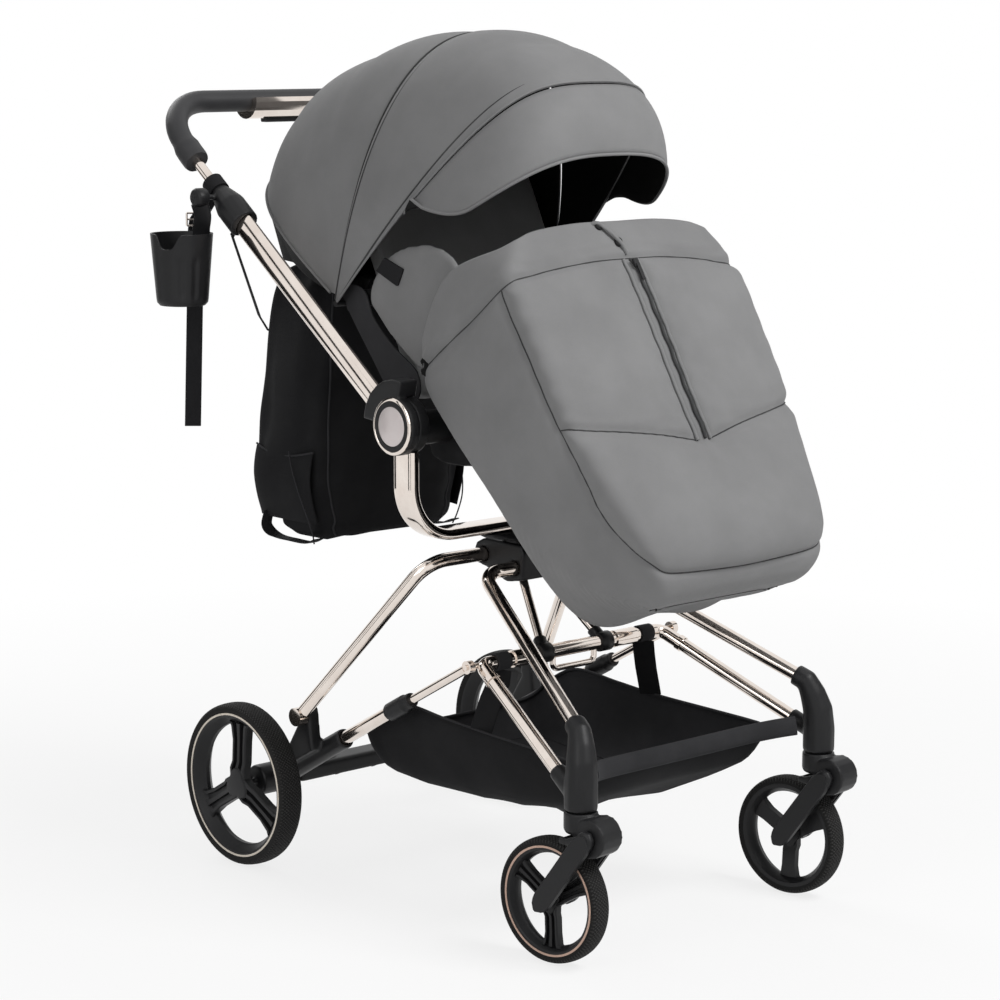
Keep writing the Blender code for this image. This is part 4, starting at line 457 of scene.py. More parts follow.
def spun(name, profile, centre, axis, finish, body, steps=96, stands_for=()):
    """A turned piece: (radius, height) points round an axis through a world point."""
    axis = Vector(axis).normalized()
    flat = axis.orthogonal().normalized()
    other = axis.cross(flat)
    verts, faces = [], []
    for step in range(steps):
        angle = 2 * math.pi * step / steps
        outward = flat * math.cos(angle) + other * math.sin(angle)
        verts += [centre + outward * r + axis * h for r, h in profile]
    count = len(profile)
    closed = profile[0] != profile[-1] and min(profile[0][0], profile[-1][0]) > 0
    for step in range(steps):
        following = (step + 1) % steps
        for i in range(count if closed else count - 1):
            j = (i + 1) % count
            faces.append((step * count + i, following * count + i, following * count + j, step * count + j))
    piece = mesh_object(name, verts, faces, finish)
    shape = bmesh.new()
    shape.from_mesh(piece.data)
    bmesh.ops.remove_doubles(shape, verts=shape.verts, dist=0.00001)
    bmesh.ops.dissolve_degenerate(shape, edges=shape.edges, dist=0.00001)
    shape.to_mesh(piece.data)
    shape.free()
    piece.data.set_sharp_from_angle(angle=math.radians(40))
    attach(piece, body)
    if stands_for:
        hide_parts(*stands_for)
    return piece


LUG_PITCH = 0.0105
LUG_SLANT = 560.0


def diamond_tread(name, centre, turn, radius, half_width):
    wire, feed = surface(name, 0.78, specular_ior_level=0.15)
    place = wire.object_place()
    level = wire.node("ShaderNodeVectorRotate", {"rotation_type": "Z_AXIS"},
                      {"Vector": place, "Center": centre, "Angle": -turn})
    parts = wire.node("ShaderNodeSeparateXYZ", None, {0: level})
    x = parts - centre[0]
    y = Wire(wire.tree, parts.socket.node.outputs[1]) - centre[1]
    z = Wire(wire.tree, parts.socket.node.outputs[2]) - centre[2]
    round_angle = wire.maths("ARCTAN2", z, y)
    reach = wire.maths("SQRT", y * y + z * z)
    lugs = round(radius * 2 * math.pi / LUG_PITCH)
    rising = wire.maths("SINE", round_angle * lugs + x * LUG_SLANT)
    falling = wire.maths("SINE", round_angle * lugs - x * LUG_SLANT)
    pattern = wire.maths("MAXIMUM", wire.maths("ABSOLUTE", rising) * wire.maths("ABSOLUTE", falling), 0.06)
    on_tread = (reach > radius - 0.0062)
    grain = place.noise(500.0, 2.0)
    dust = place.noise(18.0, 4.0)
    relief = pattern * on_tread * 0.9 + grain * 0.1
    # Painted light: the grooves between the lugs are painted darker, as their shade, and the lug tops
    # lighter, as a highlight; the dust noise also lightens patches at random.
    painted_tread_light_and_dust = wire.maths("MAXIMUM", pattern * on_tread, dust * 0.35)
    return feed(base_color=painted_tread_light_and_dust.mixed((0.007, 0.007, 0.007, 1), (0.048, 0.047, 0.046, 1)),
                roughness=0.66 + dust * 0.16, normal=relief.bump(1.0, 0.0016))


def ring_finish(name, colour):
    wire, feed = surface(name, 0.35, 0.25)
    place = wire.object_place()
    scuff = place.noise(60.0, 3.0)
    dull = tuple(c * 0.9 for c in colour)
    return feed(base_color=scuff.mixed((*colour, 1), (*dull, 1)), roughness=scuff * 0.2 + 0.25)


cream = ring_finish("cream_ring", (0.80, 0.72, 0.62))
rose = ring_finish("rose_ring", (0.62, 0.42, 0.33))


def wheel(prefix, side, body, centre, turn, radius, width, tyre_height, ring, first_spoke):
    left = side == "left"
    axis = Vector((math.cos(turn), math.sin(turn), 0.0)) * (1 if left else -1)
    half = width / 2
    seat = radius - tyre_height
    tyre = []
    for step in range(15):
        angle = math.pi * step / 14
        bulge = abs(math.sin(angle)) ** 0.42
        tyre.append((seat + 0.0006 + (radius - seat - 0.0006) * bulge,
                     half * math.cos(angle) * (0.80 + 0.20 * bulge)))
    spun(f"{prefix}_tread_{side}", tyre, centre, axis, diamond_tread(f"{prefix}_tread_{side}", centre, turn,
            radius, half), body, stands_for=(f"{prefix}_tyre_{side}",))
    barrel = seat - radius * 0.135
    face = half * 0.80
    rim = [(seat + 0.0004, face * 0.96), (seat - 0.0008, face), (seat - 0.0050, face * 0.97),
           (seat - 0.0068, face * 0.86), (barrel + 0.003, half * 0.22), (barrel, half * 0.05),
           (barrel, -half * 0.25), (seat - 0.0050, -face * 0.97), (seat + 0.0004, -face),
           (seat + 0.0004, -face * 0.5)]
    spun(f"{prefix}_barrel_{side}", rim, centre, axis, moulded, body, stands_for=(f"{prefix}_rim_{side}",))
    line = [(seat + 0.0005, face + 0.0004), (seat - 0.0010, face + 0.0009), (seat - 0.0024, face + 0.0004),
            (seat - 0.0024, face - 0.0020), (seat + 0.0005, face - 0.0020)]
    spun(f"{prefix}_ring_{side}", line, centre, axis, ring, body)
    upright = Vector((0.0, 0.0, 1.0))
    across = axis.cross(upright).normalized()
    hub = radius * 0.185
    spoke_half = radius * 0.140
    depth = half * 0.34
    section = [(-1.0, -0.9), (-1.0, 0.75), (-0.9, 1.0), (-0.66, 1.0), (-0.60, 0.15), (-0.24, 0.15),
               (-0.18, 1.0), (0.18, 1.0), (0.24, 0.15), (0.60, 0.15), (0.66, 1.0), (0.9, 1.0), (1.0, 0.75),
               (1.0, -0.9)]
    verts, faces = [], []
    for number in range(3):
        angle = 2 * math.pi * number / 3 + first_spoke
        outward = upright * math.cos(angle) + across * math.sin(angle)
        sideways = axis.cross(outward)
        first = len(verts)
        for run, spread, rise in ((hub * 0.3, 1.0, 0.7), (hub * 1.05, 1.0, 0.8), (hub * 1.5, 0.92, 0.3),
                                  (barrel * 0.72, 0.92, 0.1), (barrel * 0.95, 1.12, 0.15),
                                  (barrel + 0.001, 1.35, 0.2)):
            for a, d in section:
                verts.append(centre + outward * run + sideways * a * spoke_half * spread
                             + axis * (d * depth + rise * depth))
        count = len(section)
        faces += ring_faces(6, count, first)
        faces.append(tuple(first + i for i in reversed(range(count))))
        faces.append(tuple(first + 5 * count + i for i in range(count)))
    spokes = mesh_object(f"{prefix}_spokes_{side}", verts, faces, moulded)
    spokes.data.set_sharp_from_angle(angle=math.radians(35))
    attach(spokes, body)
    cap = []
    levels = ((-1.0, 1.0), (1.15, 1.0), (1.45, 0.93), (1.5, 0.84))
    corners = 48
    for level, share in levels:
        for step in range(corners):
            angle = 2 * math.pi * step / corners
            reach = hub * (1.0 + 0.16 * math.cos(3 * (angle - first_spoke))) * share
            cap.append(centre + (upright * math.cos(angle) + across * math.sin(angle)) * reach
                       + axis * (depth * level + depth * 0.5))
    cap_faces = ring_faces(len(levels), corners) + end_faces(len(levels), corners)[::-1]
    hub_cap = mesh_object(f"{prefix}_hub_cap_{side}", cap, cap_faces, moulded)
    hub_cap.data.set_sharp_from_angle(angle=math.radians(30))
    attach(hub_cap, body)


joint_place = {joint["child"]: joint.get("pos_m") for joint in frame["joints"]}
STEER = math.radians(6.0)
FORK_FACE = 0.0290
for side in ("left", "right"):
    wheel("rear", side, "rear_wheel_" + side, Vector(joint_place["rear_wheel_" + side]), 0.0, 0.120, 0.042,
          0.014, cream, 0.0)
    wheel("front", side, "front_wheel_" + side, Vector(joint_place["front_wheel_" + side]), STEER, 0.085,
          0.034, 0.011, rose, math.pi)

# Each fork arm carries a raised, round-ended panel on both faces, from its swing pin to the axle.
# Its section gives each point's share of the half width, and its rise above the arm.
PANEL_ROWS = 25
PANEL_HALF_WIDTH = 0.0145
PANEL_SECTION = ((-1.0, -0.004), (-0.97, 0.0022), (-0.90, 0.0034),
                 (0.90, 0.0034), (0.97, 0.0022), (1.0, -0.004))
for side in ("left", "right"):
    swing = Vector(joint_place["fork_" + side]) - SHIFT
    axle = Vector(joint_place["front_wheel_" + side]) - SHIFT
    across = Vector((math.cos(STEER), math.sin(STEER), 0.0))
    if side == "right":
        across.y = Vector(next(j["axis"] for j in frame["joints"] if j["child"] == "fork_right")).y
    for face in (1, -1):
        start, end = swing + across * face * FORK_FACE, axle + across * face * FORK_FACE
        run = end - start
        panel_route = [start + run * t for t in np.linspace(-0.06, 1.10, PANEL_ROWS)]
        width_line = run.cross(across).normalized()
        verts = []
        for number, point in enumerate(panel_route):
            t = number / (PANEL_ROWS - 1)
            half = PANEL_HALF_WIDTH * math.sqrt(max(0.02, 1 - max(0.0, abs(2 * t - 1) - 0.70) ** 2 / 0.09))
            for x, rise in PANEL_SECTION:
                verts.append(spot(*(point + width_line * half * x + across * face * rise)))
        count = len(PANEL_SECTION)
        last_row = (PANEL_ROWS - 1) * count
        faces = ring_faces(PANEL_ROWS, count, closed=False)
        faces += [tuple(range(count)), tuple(range(last_row, last_row + count)),
                  tuple(row * count for row in range(PANEL_ROWS))
                  + tuple(row * count + count - 1 for row in reversed(range(PANEL_ROWS)))]
        arm_panel = mesh_object(f"fork_panel_{side}{face}", verts, faces, moulded)
        arm_panel.data.set_sharp_from_angle(angle=math.radians(35))
        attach(arm_panel, "fork_" + side)

# Seat bow: a flat plated band bent into a U, bolted to the turntable and carrying the pivots.
CENTRE_Y = 0.340
PIVOT_Z = 0.684


def band(name, route, width_line, half_thick, half_wide, power, finish, body, stands_for=(), steps=24):
    """A bar of flattened oval section swept along a route of pram points, its width along one line."""
    width_line = Vector(width_line).normalized()
    verts = []
    for number, point in enumerate(route):
        ahead = (Vector(route[min(number + 1, len(route) - 1)])
                 - Vector(route[max(number - 1, 0)])).normalized()
        thick_line = ahead.cross(width_line).normalized()
        wide_line = thick_line.cross(ahead)
        for step in range(steps):
            angle = 2 * math.pi * step / steps
            thick = half_thick * math.copysign(abs(math.cos(angle)) ** power[0], math.cos(angle))
            wide = half_wide * math.copysign(abs(math.sin(angle)) ** power[1], math.sin(angle))
            verts.append(spot(*point) + thick_line * thick + wide_line * wide)
    faces = ring_faces(len(route), steps) + end_faces(len(route), steps)
    piece = mesh_object(name, verts, faces, finish)
    piece.data.set_sharp_from_angle(angle=math.radians(50))
    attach(piece, body)
    if stands_for:
        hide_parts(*stands_for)
    return piece


bow_half = rounded([(0.238, CENTRE_Y, PIVOT_Z - 0.036), (0.238, CENTRE_Y, 0.527), (0.0, CENTRE_Y, 0.527)],
                   [0.072], 20)
band("seat_bow_band", there_and_back(bow_half), (0, 1, 0), 0.008, 0.0215, (0.6, 0.4), chrome, "seat_unit",
     ("seat_bow",), 36)

# Pivot covers: a pale pearl disc set in a black ring, with a plated bezel round it.
wire, feed = surface("pearl_disc", 0.32, 0.15)
place = wire.object_place()
shimmer = place.noise(90.0, 4.0)
pearl = feed(base_color=shimmer.mixed((0.74, 0.66, 0.65, 1), (0.80, 0.74, 0.73, 1)),
             roughness=shimmer * 0.15 + 0.26)
for side in ("left", "right"):
    facing = Vector((1.0, 0.0, 0.0)) if side == "left" else Vector((-1.0, 0.0, 0.0))
    centre = spot(*both_sides((0.2623, CENTRE_Y, PIVOT_Z), side == "left"))
    spun("cover_ring_" + side, [(0.0, 0.0), (0.0345, 0.0), (0.0345, 0.0022), (0.0335, 0.0032),
                                (0.0285, 0.0034), (0.0275, 0.0024), (0.0, 0.0024)], centre, facing, moulded,
         "handle", stands_for=("pivot_cover_" + side,))
    spun("cover_disc_" + side, [(0.0, 0.0030), (0.0262, 0.0030), (0.0270, 0.0024), (0.0270, 0.0006),
                                (0.0, 0.0006)], centre, facing, pearl, "handle")
    spun("cover_bezel_" + side, [(0.0347, 0.0), (0.0392, 0.0), (0.0392, 0.0012), (0.0375, 0.0027),
                                 (0.0352, 0.0030), (0.0347, 0.0026)], centre, facing, chrome, "handle")

# Handle: flat-oval plated side tubes, nylon couplers, and a telescoping bar sheathed in leatherette
# with rolled collars, and the button in its plated housing.
HANDLE_HALF = 0.2452
HANDLE_FOOT = Vector((HANDLE_HALF, 0.392, 0.713))
HANDLE_TOP = Vector((HANDLE_HALF, 0.706, 0.951))
handle_line = (HANDLE_TOP - HANDLE_FOOT).normalized()
BAR = (0.894, 1.106)


def on_handle(run, left=True):
    return both_sides(HANDLE_TOP + handle_line * run, left)


for side in ("left", "right"):
    left = side == "left"
    foot = both_sides(HANDLE_FOOT, left)
    top = both_sides(HANDLE_TOP, left)
    band("side_tube_" + side, [foot.lerp(top, share / 6) for share in range(7)],
         handle_line.cross(Vector((1, 0, 0))), 0.0105, 0.018, (1.0, 1.0), chrome, "handle",
         ("handle_tube_" + side,), 32)

grip_corner = Vector((HANDLE_HALF, *BAR))
grip_middle = Vector((0.0, *BAR))
inner_route = there_and_back(rounded([on_handle(-0.110), on_handle(0.138), grip_corner, grip_middle],
                                     [0.10, 0.082]))
tube("telescoping_tube", inner_route, 0.0078, chrome, "handle_bar", ("handle_inner_tube",))

wire, feed = surface("leatherette", 0.5, specular_ior_level=0.3)
place = wire.object_place()
pores = wire.node("ShaderNodeTexVoronoi", {"feature": "DISTANCE_TO_EDGE"}, {"Vector": place, "Scale": 620.0})
hide = place.noise(30.0, 4.0)
leather = feed(base_color=hide.mixed((0.026, 0.026, 0.028, 1), (0.045, 0.045, 0.047, 1)),
               roughness=0.42 + hide * 0.18, normal=pores.bump(0.25, 0.0003))
grip_route = there_and_back(rounded([on_handle(0.118), on_handle(0.138), grip_corner, grip_middle],
                                    [0.10, 0.082], 18))
lengths = [0.0]
for before, after in zip(grip_route, grip_route[1:]):
    lengths.append(lengths[-1] + (after - before).length)


def grip_radius(run):
    """The sheath's radius along the bar: rolled collars at both ends, an even roll between."""
    inset = min(run, lengths[-1] - run)
    if inset < 0.003:
        return 1.10
    if inset < 0.030:
        return 1.18
    return 1.0 + 0.18 * max(0.0, 1.0 - (inset - 0.030) / 0.012)


grip_points, grip_radii = [], []
for number, point in enumerate(grip_route[:-1]):
    gap = grip_route[number + 1] - point
    pieces = max(1, int(gap.length / 0.004))
    for part in range(pieces):
        grip_points.append(point + gap * part / pieces)
        grip_radii.append(grip_radius(lengths[number] + gap.length * part / pieces))
grip_points.append(grip_route[-1])
grip_radii.append(1.10)
tube("grip_sheath", grip_points, 0.0165, leather, "handle_bar", ("handle_grip",), grip_radii)
repaint("button_housing", chrome)
repaint("handle_button", moulded)

# Cup holder: a tapered nylon cup with a U notch in its rim, clipped to a pin on the right coupler.


def eased(rows, steps):
    """Rows of values with smooth steps put between them."""
    rows = np.array(rows, dtype=float)
    ends = np.concatenate([[2 * rows[0] - rows[1]], rows, [2 * rows[-1] - rows[-2]]])
    found = []
    for i in range(len(rows) - 1):
        a, b, c, d = ends[i:i + 4]
        for step in range(steps):
            t = step / steps
            found.append(0.5 * (2 * b + (c - a) * t + (2 * a - 5 * b + 4 * c - d) * t * t
                                + (3 * b - a - 3 * c + d) * t ** 3))
    found.append(rows[-1])
    return np.array(found)


pin = Vector(joint_place["cup"]) - SHIFT
CUP = Vector((-0.3000, 0.7650, 0.820))
CUP_FOOT_RADIUS = 0.0368
CUP_FLARE = 0.0085
CUP_HEIGHT = 0.1035
CUP_FLOOR_THICK = 0.003
CUP_WALL_SHARE = 0.055
NOTCH_DEPTH = 0.021
SLOT_DEPTH = 0.0022
AROUND = 96
cup_turns = np.linspace(0, 2 * math.pi, AROUND + 1)[:-1]
NOTCH_TURN = math.radians(205.0)
SLOT_TURNS = (math.radians(232.0), math.radians(262.0))


def turned_from(turn):
    """How far round the cup each of its points lies from one turn, in radians."""
    return np.abs((cup_turns - turn + math.pi) % (2 * math.pi) - math.pi)


def cup_ring(reach, z):
    """A ring of points round the cup's middle, at one height or at a height for each point."""
    return np.stack([CUP.x + reach * np.cos(cup_turns), CUP.y + reach * np.sin(cup_turns),
                     z + np.zeros(AROUND)], axis=-1)


rim_drop = NOTCH_DEPTH * np.exp(-(turned_from(NOTCH_TURN) / 0.36) ** 4)
slot_share = np.zeros(AROUND)
for slot_turn in SLOT_TURNS:
    slot_share = np.maximum(slot_share, np.exp(-(turned_from(slot_turn) / 0.10) ** 6))
cup_rings = []
for height in np.linspace(0.0, 1.0, 25):
    reach = CUP_FOOT_RADIUS + CUP_FLARE * height - 0.004 * math.exp(-height / 0.02)
    in_slot = 1.0 / (1 + math.exp(-(height - 0.12) * 60)) / (1 + math.exp((height - 0.66) * 60))
    r = reach - SLOT_DEPTH * slot_share * in_slot
    z = CUP.z + height * (CUP_HEIGHT - rim_drop * height ** 3)
    cup_rings.append(cup_ring(r, z))
for reach in (0.030, 0.020, 0.010, 0.0005):
    cup_rings.insert(0, cup_ring(reach, CUP.z))
cup_verts = []
ACROSS_CUP = (1, 1, 0)
wall_rings = cup_rings + [ring + (np.array(CUP) - ring) * ACROSS_CUP * CUP_WALL_SHARE
                          for ring in reversed(cup_rings[4:])]
wall_rings += [cup_ring(reach, CUP.z + CUP_FLOOR_THICK) for reach in (0.02, 0.0004)]
for ring in wall_rings:
    cup_verts += (ring + np.array(SHIFT)).tolist()
cup_piece = mesh_object("cup_body", cup_verts, ring_faces(len(wall_rings), AROUND), moulded)
cup_piece.data.set_sharp_from_angle(angle=math.radians(45))
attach(cup_piece, "cup")
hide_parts("cup_holder")
eye = pin + Vector((-0.0440, 0.0, 0.0))
spun("cup_eye", [(0.0, -0.0075), (0.0100, -0.0075), (0.0125, -0.0055), (0.0135, -0.003), (0.0135, 0.0095),
                 (0.0120, 0.0115), (0.0070, 0.0115), (0.0070, -0.0050), (0.0, -0.0050)], spot(*eye),
     (1, 0, 0), moulded, "cup", 48)
band("cup_arm", eased([tuple(eye + Vector((0.002, 0.0, -0.009))),
                       tuple(eye + Vector((0.010, 0.004, -0.026))), (-0.2760, 0.7500, 0.9280),
                       (-0.2735, 0.7515, 0.9120), (-0.2740, 0.7520, 0.8950)], 6), (0.74, -0.67, 0.0),
     0.0032, 0.0125, (0.6, 0.5), moulded, "cup", (), 24)

# Wrist strap: 24 mm nylon webbing looped round the right coupler, a wire buckle on it, its sewn
# tail hanging behind the cup.
wire, feed = surface("webbing", 0.8, specular_ior_level=0.1)
place = wire.object_place()
ribs = place.wave("Z", 420.0, 0.3)
weft = place.wave("X", 300.0, 0.2)
webbing = feed(base_color=ribs.mixed((0.012, 0.012, 0.013, 1), (0.028, 0.028, 0.03, 1)),
               normal=(ribs + weft).bump(0.3, 0.0005))
loop_middle = on_handle(0.0615, False)
down = handle_line.cross(Vector((1, 0, 0)))
down = down if down.z < 0 else -down
spun("strap_loop", [(0.0158, 0.011), (0.0158, -0.011), (0.0140, -0.011), (0.0140, 0.011)],
     spot(*loop_middle), handle_line, webbing, "handle", 64, ("wrist_strap",))
tail_start = loop_middle + down * 0.0148
tail = rounded([tail_start, (tail_start.x, 0.801, tail_start.z - 0.038),
                (tail_start.x, 0.805, tail_start.z - 0.052), (tail_start.x - 0.006, 0.812, 0.634)],
               [0.01, 0.01], 8)
tail_piece = band("strap_tail", tail, (1, -0.55, 0), 0.0009, 0.012, (0.4, 0.3), webbing, "handle", (), 12)
buckle = Vector(tail[3])
for number, rise in enumerate((-0.009, 0.0, 0.009)):
    tube(f"buckle_bar_{number}", [buckle + Vector((-0.0145, 0.0075, rise)),
                                  buckle + Vector((0.0145, -0.0075, rise))], 0.0015, chrome, "handle")
for number, reach in enumerate((-1, 1)):
    end = buckle + Vector((0.0145, -0.0075, 0.0)) * reach
    tube(f"buckle_side_{number}", [end + Vector((0, 0, -0.009)), end + Vector((0, 0, 0.009))], 0.0015,
         chrome, "handle")

# Hood: sheets of polyester, black inside, with a raised seam where each rib would be sewn in; the
# wires of the ribs are not drawn. A slit of up to 4 mm is left between the front and the rear panels.
# The rear panels stay up, the front ones fold back over them, the peak flips.


def woven(name, dark, light, threads=520.0, roughness=0.82, sheen=0.0):
    wire, feed = surface(name, roughness, specular_ior_level=0.16, sheen_weight=sheen, sheen_roughness=0.4)
    place = wire.object_place()
    warp = place.wave("DIAGONAL", threads, 0.6)
    weft = place.wave("X", threads * 1.13, 0.6)
    cloudy = place.noise(11.0, 5.0, Roughness=0.55)
    slub = place.noise(700.0, 2.0)
    tone = cloudy.node("ShaderNodeMapRange", None, {0: cloudy * 0.8 + slub * 0.2, 1: 0.35, 2: 0.65})
    crumple = place.noise(16.0, 3.0, Distortion=0.5)
    soft = crumple.bump(0.10, 0.004)
    fine = wire.node("ShaderNodeBump", None, {"Height": warp * weft, "Strength": 0.20, "Distance": 0.0004,
                                              "Normal": soft})
    return feed(base_color=tone.mixed((*dark, 1), (*light, 1)), roughness=slub * 0.12 + (roughness - 0.06),
                normal=fine)


grey_cloth = woven("grey_polyester", (0.212, 0.212, 0.214), (0.244, 0.244, 0.246), sheen=0.12)
# Painted shade: the seams are real, but their dark grey stands for the shade in the sewn grooves; the zip's
# coil is drawn in the same grey as its own dark colour.
seam_shade_and_coil_grey = woven("seam_thread", (0.045, 0.045, 0.046), (0.075, 0.075, 0.076), 900.0)
lining = woven("black_lining", (0.006, 0.006, 0.006), (0.011, 0.011, 0.011))


def cloth(name, grid, wall, finishes, body, stands_for=(), closed=False, taper=None):
    """A sewn sheet over a grid of pram points, thickened inward and lined, thinner where it tapers."""
    rows, across = grid.shape[:2]
    faces = ring_faces(rows, across, closed=closed)
    data = bpy.data.meshes.new(name)
    data.from_pydata((grid.reshape(-1, 3) + np.array(SHIFT)).tolist(), [], faces)
    for finish in finishes:
        data.materials.append(finish)
    data.shade_smooth()
    piece = bpy.data.objects.new(name, data)
    bpy.context.scene.collection.objects.link(piece)
    thick = piece.modifiers.new("Wall", "SOLIDIFY")
    thick.thickness = wall
    thick.offset = -1.0
    thick.material_offset = len(finishes) - 1
    if taper is not None:
        share = piece.vertex_groups.new(name="wall")
        for number, weight in enumerate(np.repeat(taper, across)):
            share.add([number], float(weight), "REPLACE")
        thick.vertex_group = "wall"
    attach(piece, body)
    if stands_for:
        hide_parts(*stands_for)
    return piece


def stretched(piece, grid, *holders):
    """Works out the diagonals of the cells of the grid that a sheet is drawn on, and keeps nothing. The piece
    and the holders are not used.
    """
    one, other = grid[1:, 1:] - grid[:-1, :-1], grid[1:, :-1] - grid[:-1, 1:]


def seam(name, points, radius, finish, body):
    """A raised seam, cord or piping through pram points."""
    return tube(name, [Vector(p) for p in points], radius, finish, body)


HINGE_Y = 0.530
HINGE_Z = 0.833


def rib(angle, reach, half, fullness, squareness, shoulder, turns):
    """Pram points of one rib, from one hinge over the top to the other."""
    out = reach * np.sin(turns) ** fullness * (1 + shoulder * np.sin(2 * turns) ** 2)
    across = half * np.sign(np.cos(turns)) * np.abs(np.cos(turns)) ** squareness
    lean = np.radians(angle)
    return np.stack([across, HINGE_Y + out * np.cos(lean), HINGE_Z + out * np.sin(lean)], axis=-1)


FULL = np.linspace(0.006, math.pi - 0.006, 121)
REAR_RIBS = [(33.0, 0.328, 0.198, 0.50, 0.90, 0.0), (52.0, 0.357, 0.199, 0.61, 0.90, 0.0),
             (77.0, 0.358, 0.2025, 0.66, 0.90, 0.0), (102.2, 0.3832, 0.2055, 0.80, 0.89, 0.0)]
FRONT_RIBS = [(102.6, 0.3870, 0.2085, 0.80, 0.89, 0.0), (118.5, 0.4125, 0.2075, 0.86, 0.80, 0.03),
              (134.4, 0.4345, 0.2050, 0.93, 0.71, 0.06)]


def panel(ribs, steps, turns, swell=0.004):
    """Rows of a padded panel between ribs, a little fuller between them than at them."""
    rows = eased(ribs, steps)
    for number, row in enumerate(rows):
        row[1] += swell * abs(math.sin(math.pi * number / steps)) ** 0.7
    return np.array([rib(*row, turns) for row in rows])


rear_panel = panel(REAR_RIBS, 14, FULL)
stretched(cloth("hood_rear_cloth", rear_panel, 0.0024, (grey_cloth, lining), "back", ("canopy_rear",)),
          rear_panel, "hood_binding", "hood_seam_a")
front_panel = panel(FRONT_RIBS, 18, FULL)
front_panel[18] = (front_panel[17] + front_panel[19]) / 2
stretched(cloth("hood_front_cloth", front_panel, 0.0024, (grey_cloth, lining), "hood_front",
                ("canopy_front",)), front_panel, "hood_seam_b", "hood_rib_edge")
# The hood's seams are drawn in the dark grey seam cord, painted shade along the sewn ribs.
for name, ribs, radius, body in (("hood_seam_a", (101.6, 0.3846, 0.2062, 0.80, 0.89, 0.0), 0.0011, "back"),
                                 ("hood_seam_b", (103.9, 0.3898, 0.2086, 0.80, 0.89, 0.0), 0.0011,
                                  "hood_front"), ("hood_binding", (33.2, 0.3290, 0.1985, 0.50, 0.90, 0.0),
                                                  0.0022, "back"), ("hood_rib_seam",
        (131.9, 0.4320, 0.2056, 0.918, 0.725, 0.055), 0.0012, "hood_front"),
                                 ("hood_rib_edge", (134.2, 0.4352, 0.2056, 0.93, 0.71, 0.06), 0.0017,
                                  "hood_front")):
    seam(name, rib(*ribs, FULL), radius, seam_shade_and_coil_grey if "seam" in name else grey_cloth, body)

PEAK_START = 0.40
peak_turns = np.linspace(PEAK_START, math.pi - PEAK_START, 97)
corner = np.clip(np.minimum(peak_turns - PEAK_START, math.pi - PEAK_START - peak_turns) / 0.26, 0.0, 1.0)
drop = np.sin(corner * math.pi / 2) ** 0.55
peak_rows = []
for step in range(15):
    share = step / 14
    hang = (13.2 + 3.4 * np.cos(peak_turns) ** 2) * share * drop
    bulge = 0.4348 - 0.0285 * (share * drop) ** 2.0 + 0.004 * math.sin(math.pi * share)
    half = 0.2052 + 0.004 * share
    lift = (np.sin(peak_turns) ** (0.93 - 0.16 * share)
            * (1 + (0.06 - 0.01 * share) * np.sin(2 * peak_turns) ** 2))
    across = half * np.sign(np.cos(peak_turns)) * np.abs(np.cos(peak_turns)) ** (0.71 + 0.06 * share)
    lean = np.radians(134.9 + hang)
    peak_rows.append(np.stack([across, HINGE_Y + bulge * lift * np.cos(lean),
                               HINGE_Z + bulge * lift * np.sin(lean)], axis=-1))
peak = np.array(peak_rows)
stretched(cloth("hood_peak_cloth", peak, 0.0026, (grey_cloth, lining), "visor", ("canopy_visor",)), peak,
          "hood_peak_edge")
seam("hood_peak_edge", peak[-1], 0.0022, grey_cloth, "visor")

# Behind the head the hood closes in one black cloth, from the rear rib down to the backrest.
back_edge = rib(33.0, 0.3266, 0.1968, 0.50, 0.90, 0.0, FULL)
low_edge = np.stack([np.clip(back_edge[:, 0], -0.172, 0.172), 0.505 - 0.02 * np.sin(FULL),
                     0.838 + 0.036 * np.sin(FULL) ** 0.3], axis=-1)
under_edge = np.stack([back_edge[:, 0] * 0.84, np.minimum(back_edge[:, 1], 0.730),
                       np.maximum(0.878, np.minimum(back_edge[:, 2] - 0.05, 0.880))], axis=-1)
under_edge[:, 2] = np.minimum(under_edge[:, 2], 0.838 + 0.042 * np.clip(np.sin(FULL) * 3, 0, 1))
curtain = np.array([back_edge + (under_edge - back_edge) * t for t in np.linspace(0, 1, 9)]
                   + [under_edge + (low_edge - under_edge) * t for t in np.linspace(0.12, 1, 8)])
stretched(cloth("hood_curtain", curtain, 0.0012, (lining,), "back"), curtain, "hood_binding", "back_pad")

# Footmuff: a quilted sock of the same cloth, zipped up the middle, with a turned-down border, sewn
# panels and a gathered edge. Its fullness follows the distance to the nearest seam; it is not simulated.


MUFF_OUT = Vector((0.0, -0.848, 0.530))


def muff_row(corner, low, corner_half, low_half, crown, under, rise, droop=0.0):
    """One ring of the muff: half its points from under the middle to the top, then their mirror image."""
    corner = Vector((0.0, *corner))
    low = Vector((0.0, *low))
    up = Vector((0.0, 0.530, 0.848)) * rise
    fall = Vector((0.0, 0.530, 0.848)) * droop
    half = [low + Vector((low_half, 0, 0)), (low + corner) / 2
            + Vector((max(low_half, corner_half) + 0.002, 0, 0)) + up,
            corner + Vector((corner_half, 0, 0)) - MUFF_OUT * 0.004 - fall,
            corner + Vector((corner_half * 0.80, 0, 0)) + MUFF_OUT * crown * 0.55 - fall * 0.3,
            corner + Vector((corner_half * 0.42, 0, 0)) + MUFF_OUT * crown * 0.95]
    if under is None:
        half = [low + Vector((low_half - 0.018, 0, 0)), low + Vector((low_half - 0.009, 0, 0))] + half
    else:
        half = [Vector((0.0, *under)), Vector((low_half * 0.6, *under))] + half
    ring = half + [corner + MUFF_OUT * crown]
    return [tuple(p) for p in ring] + [(-p.x, p.y, p.z) for p in reversed(half)]


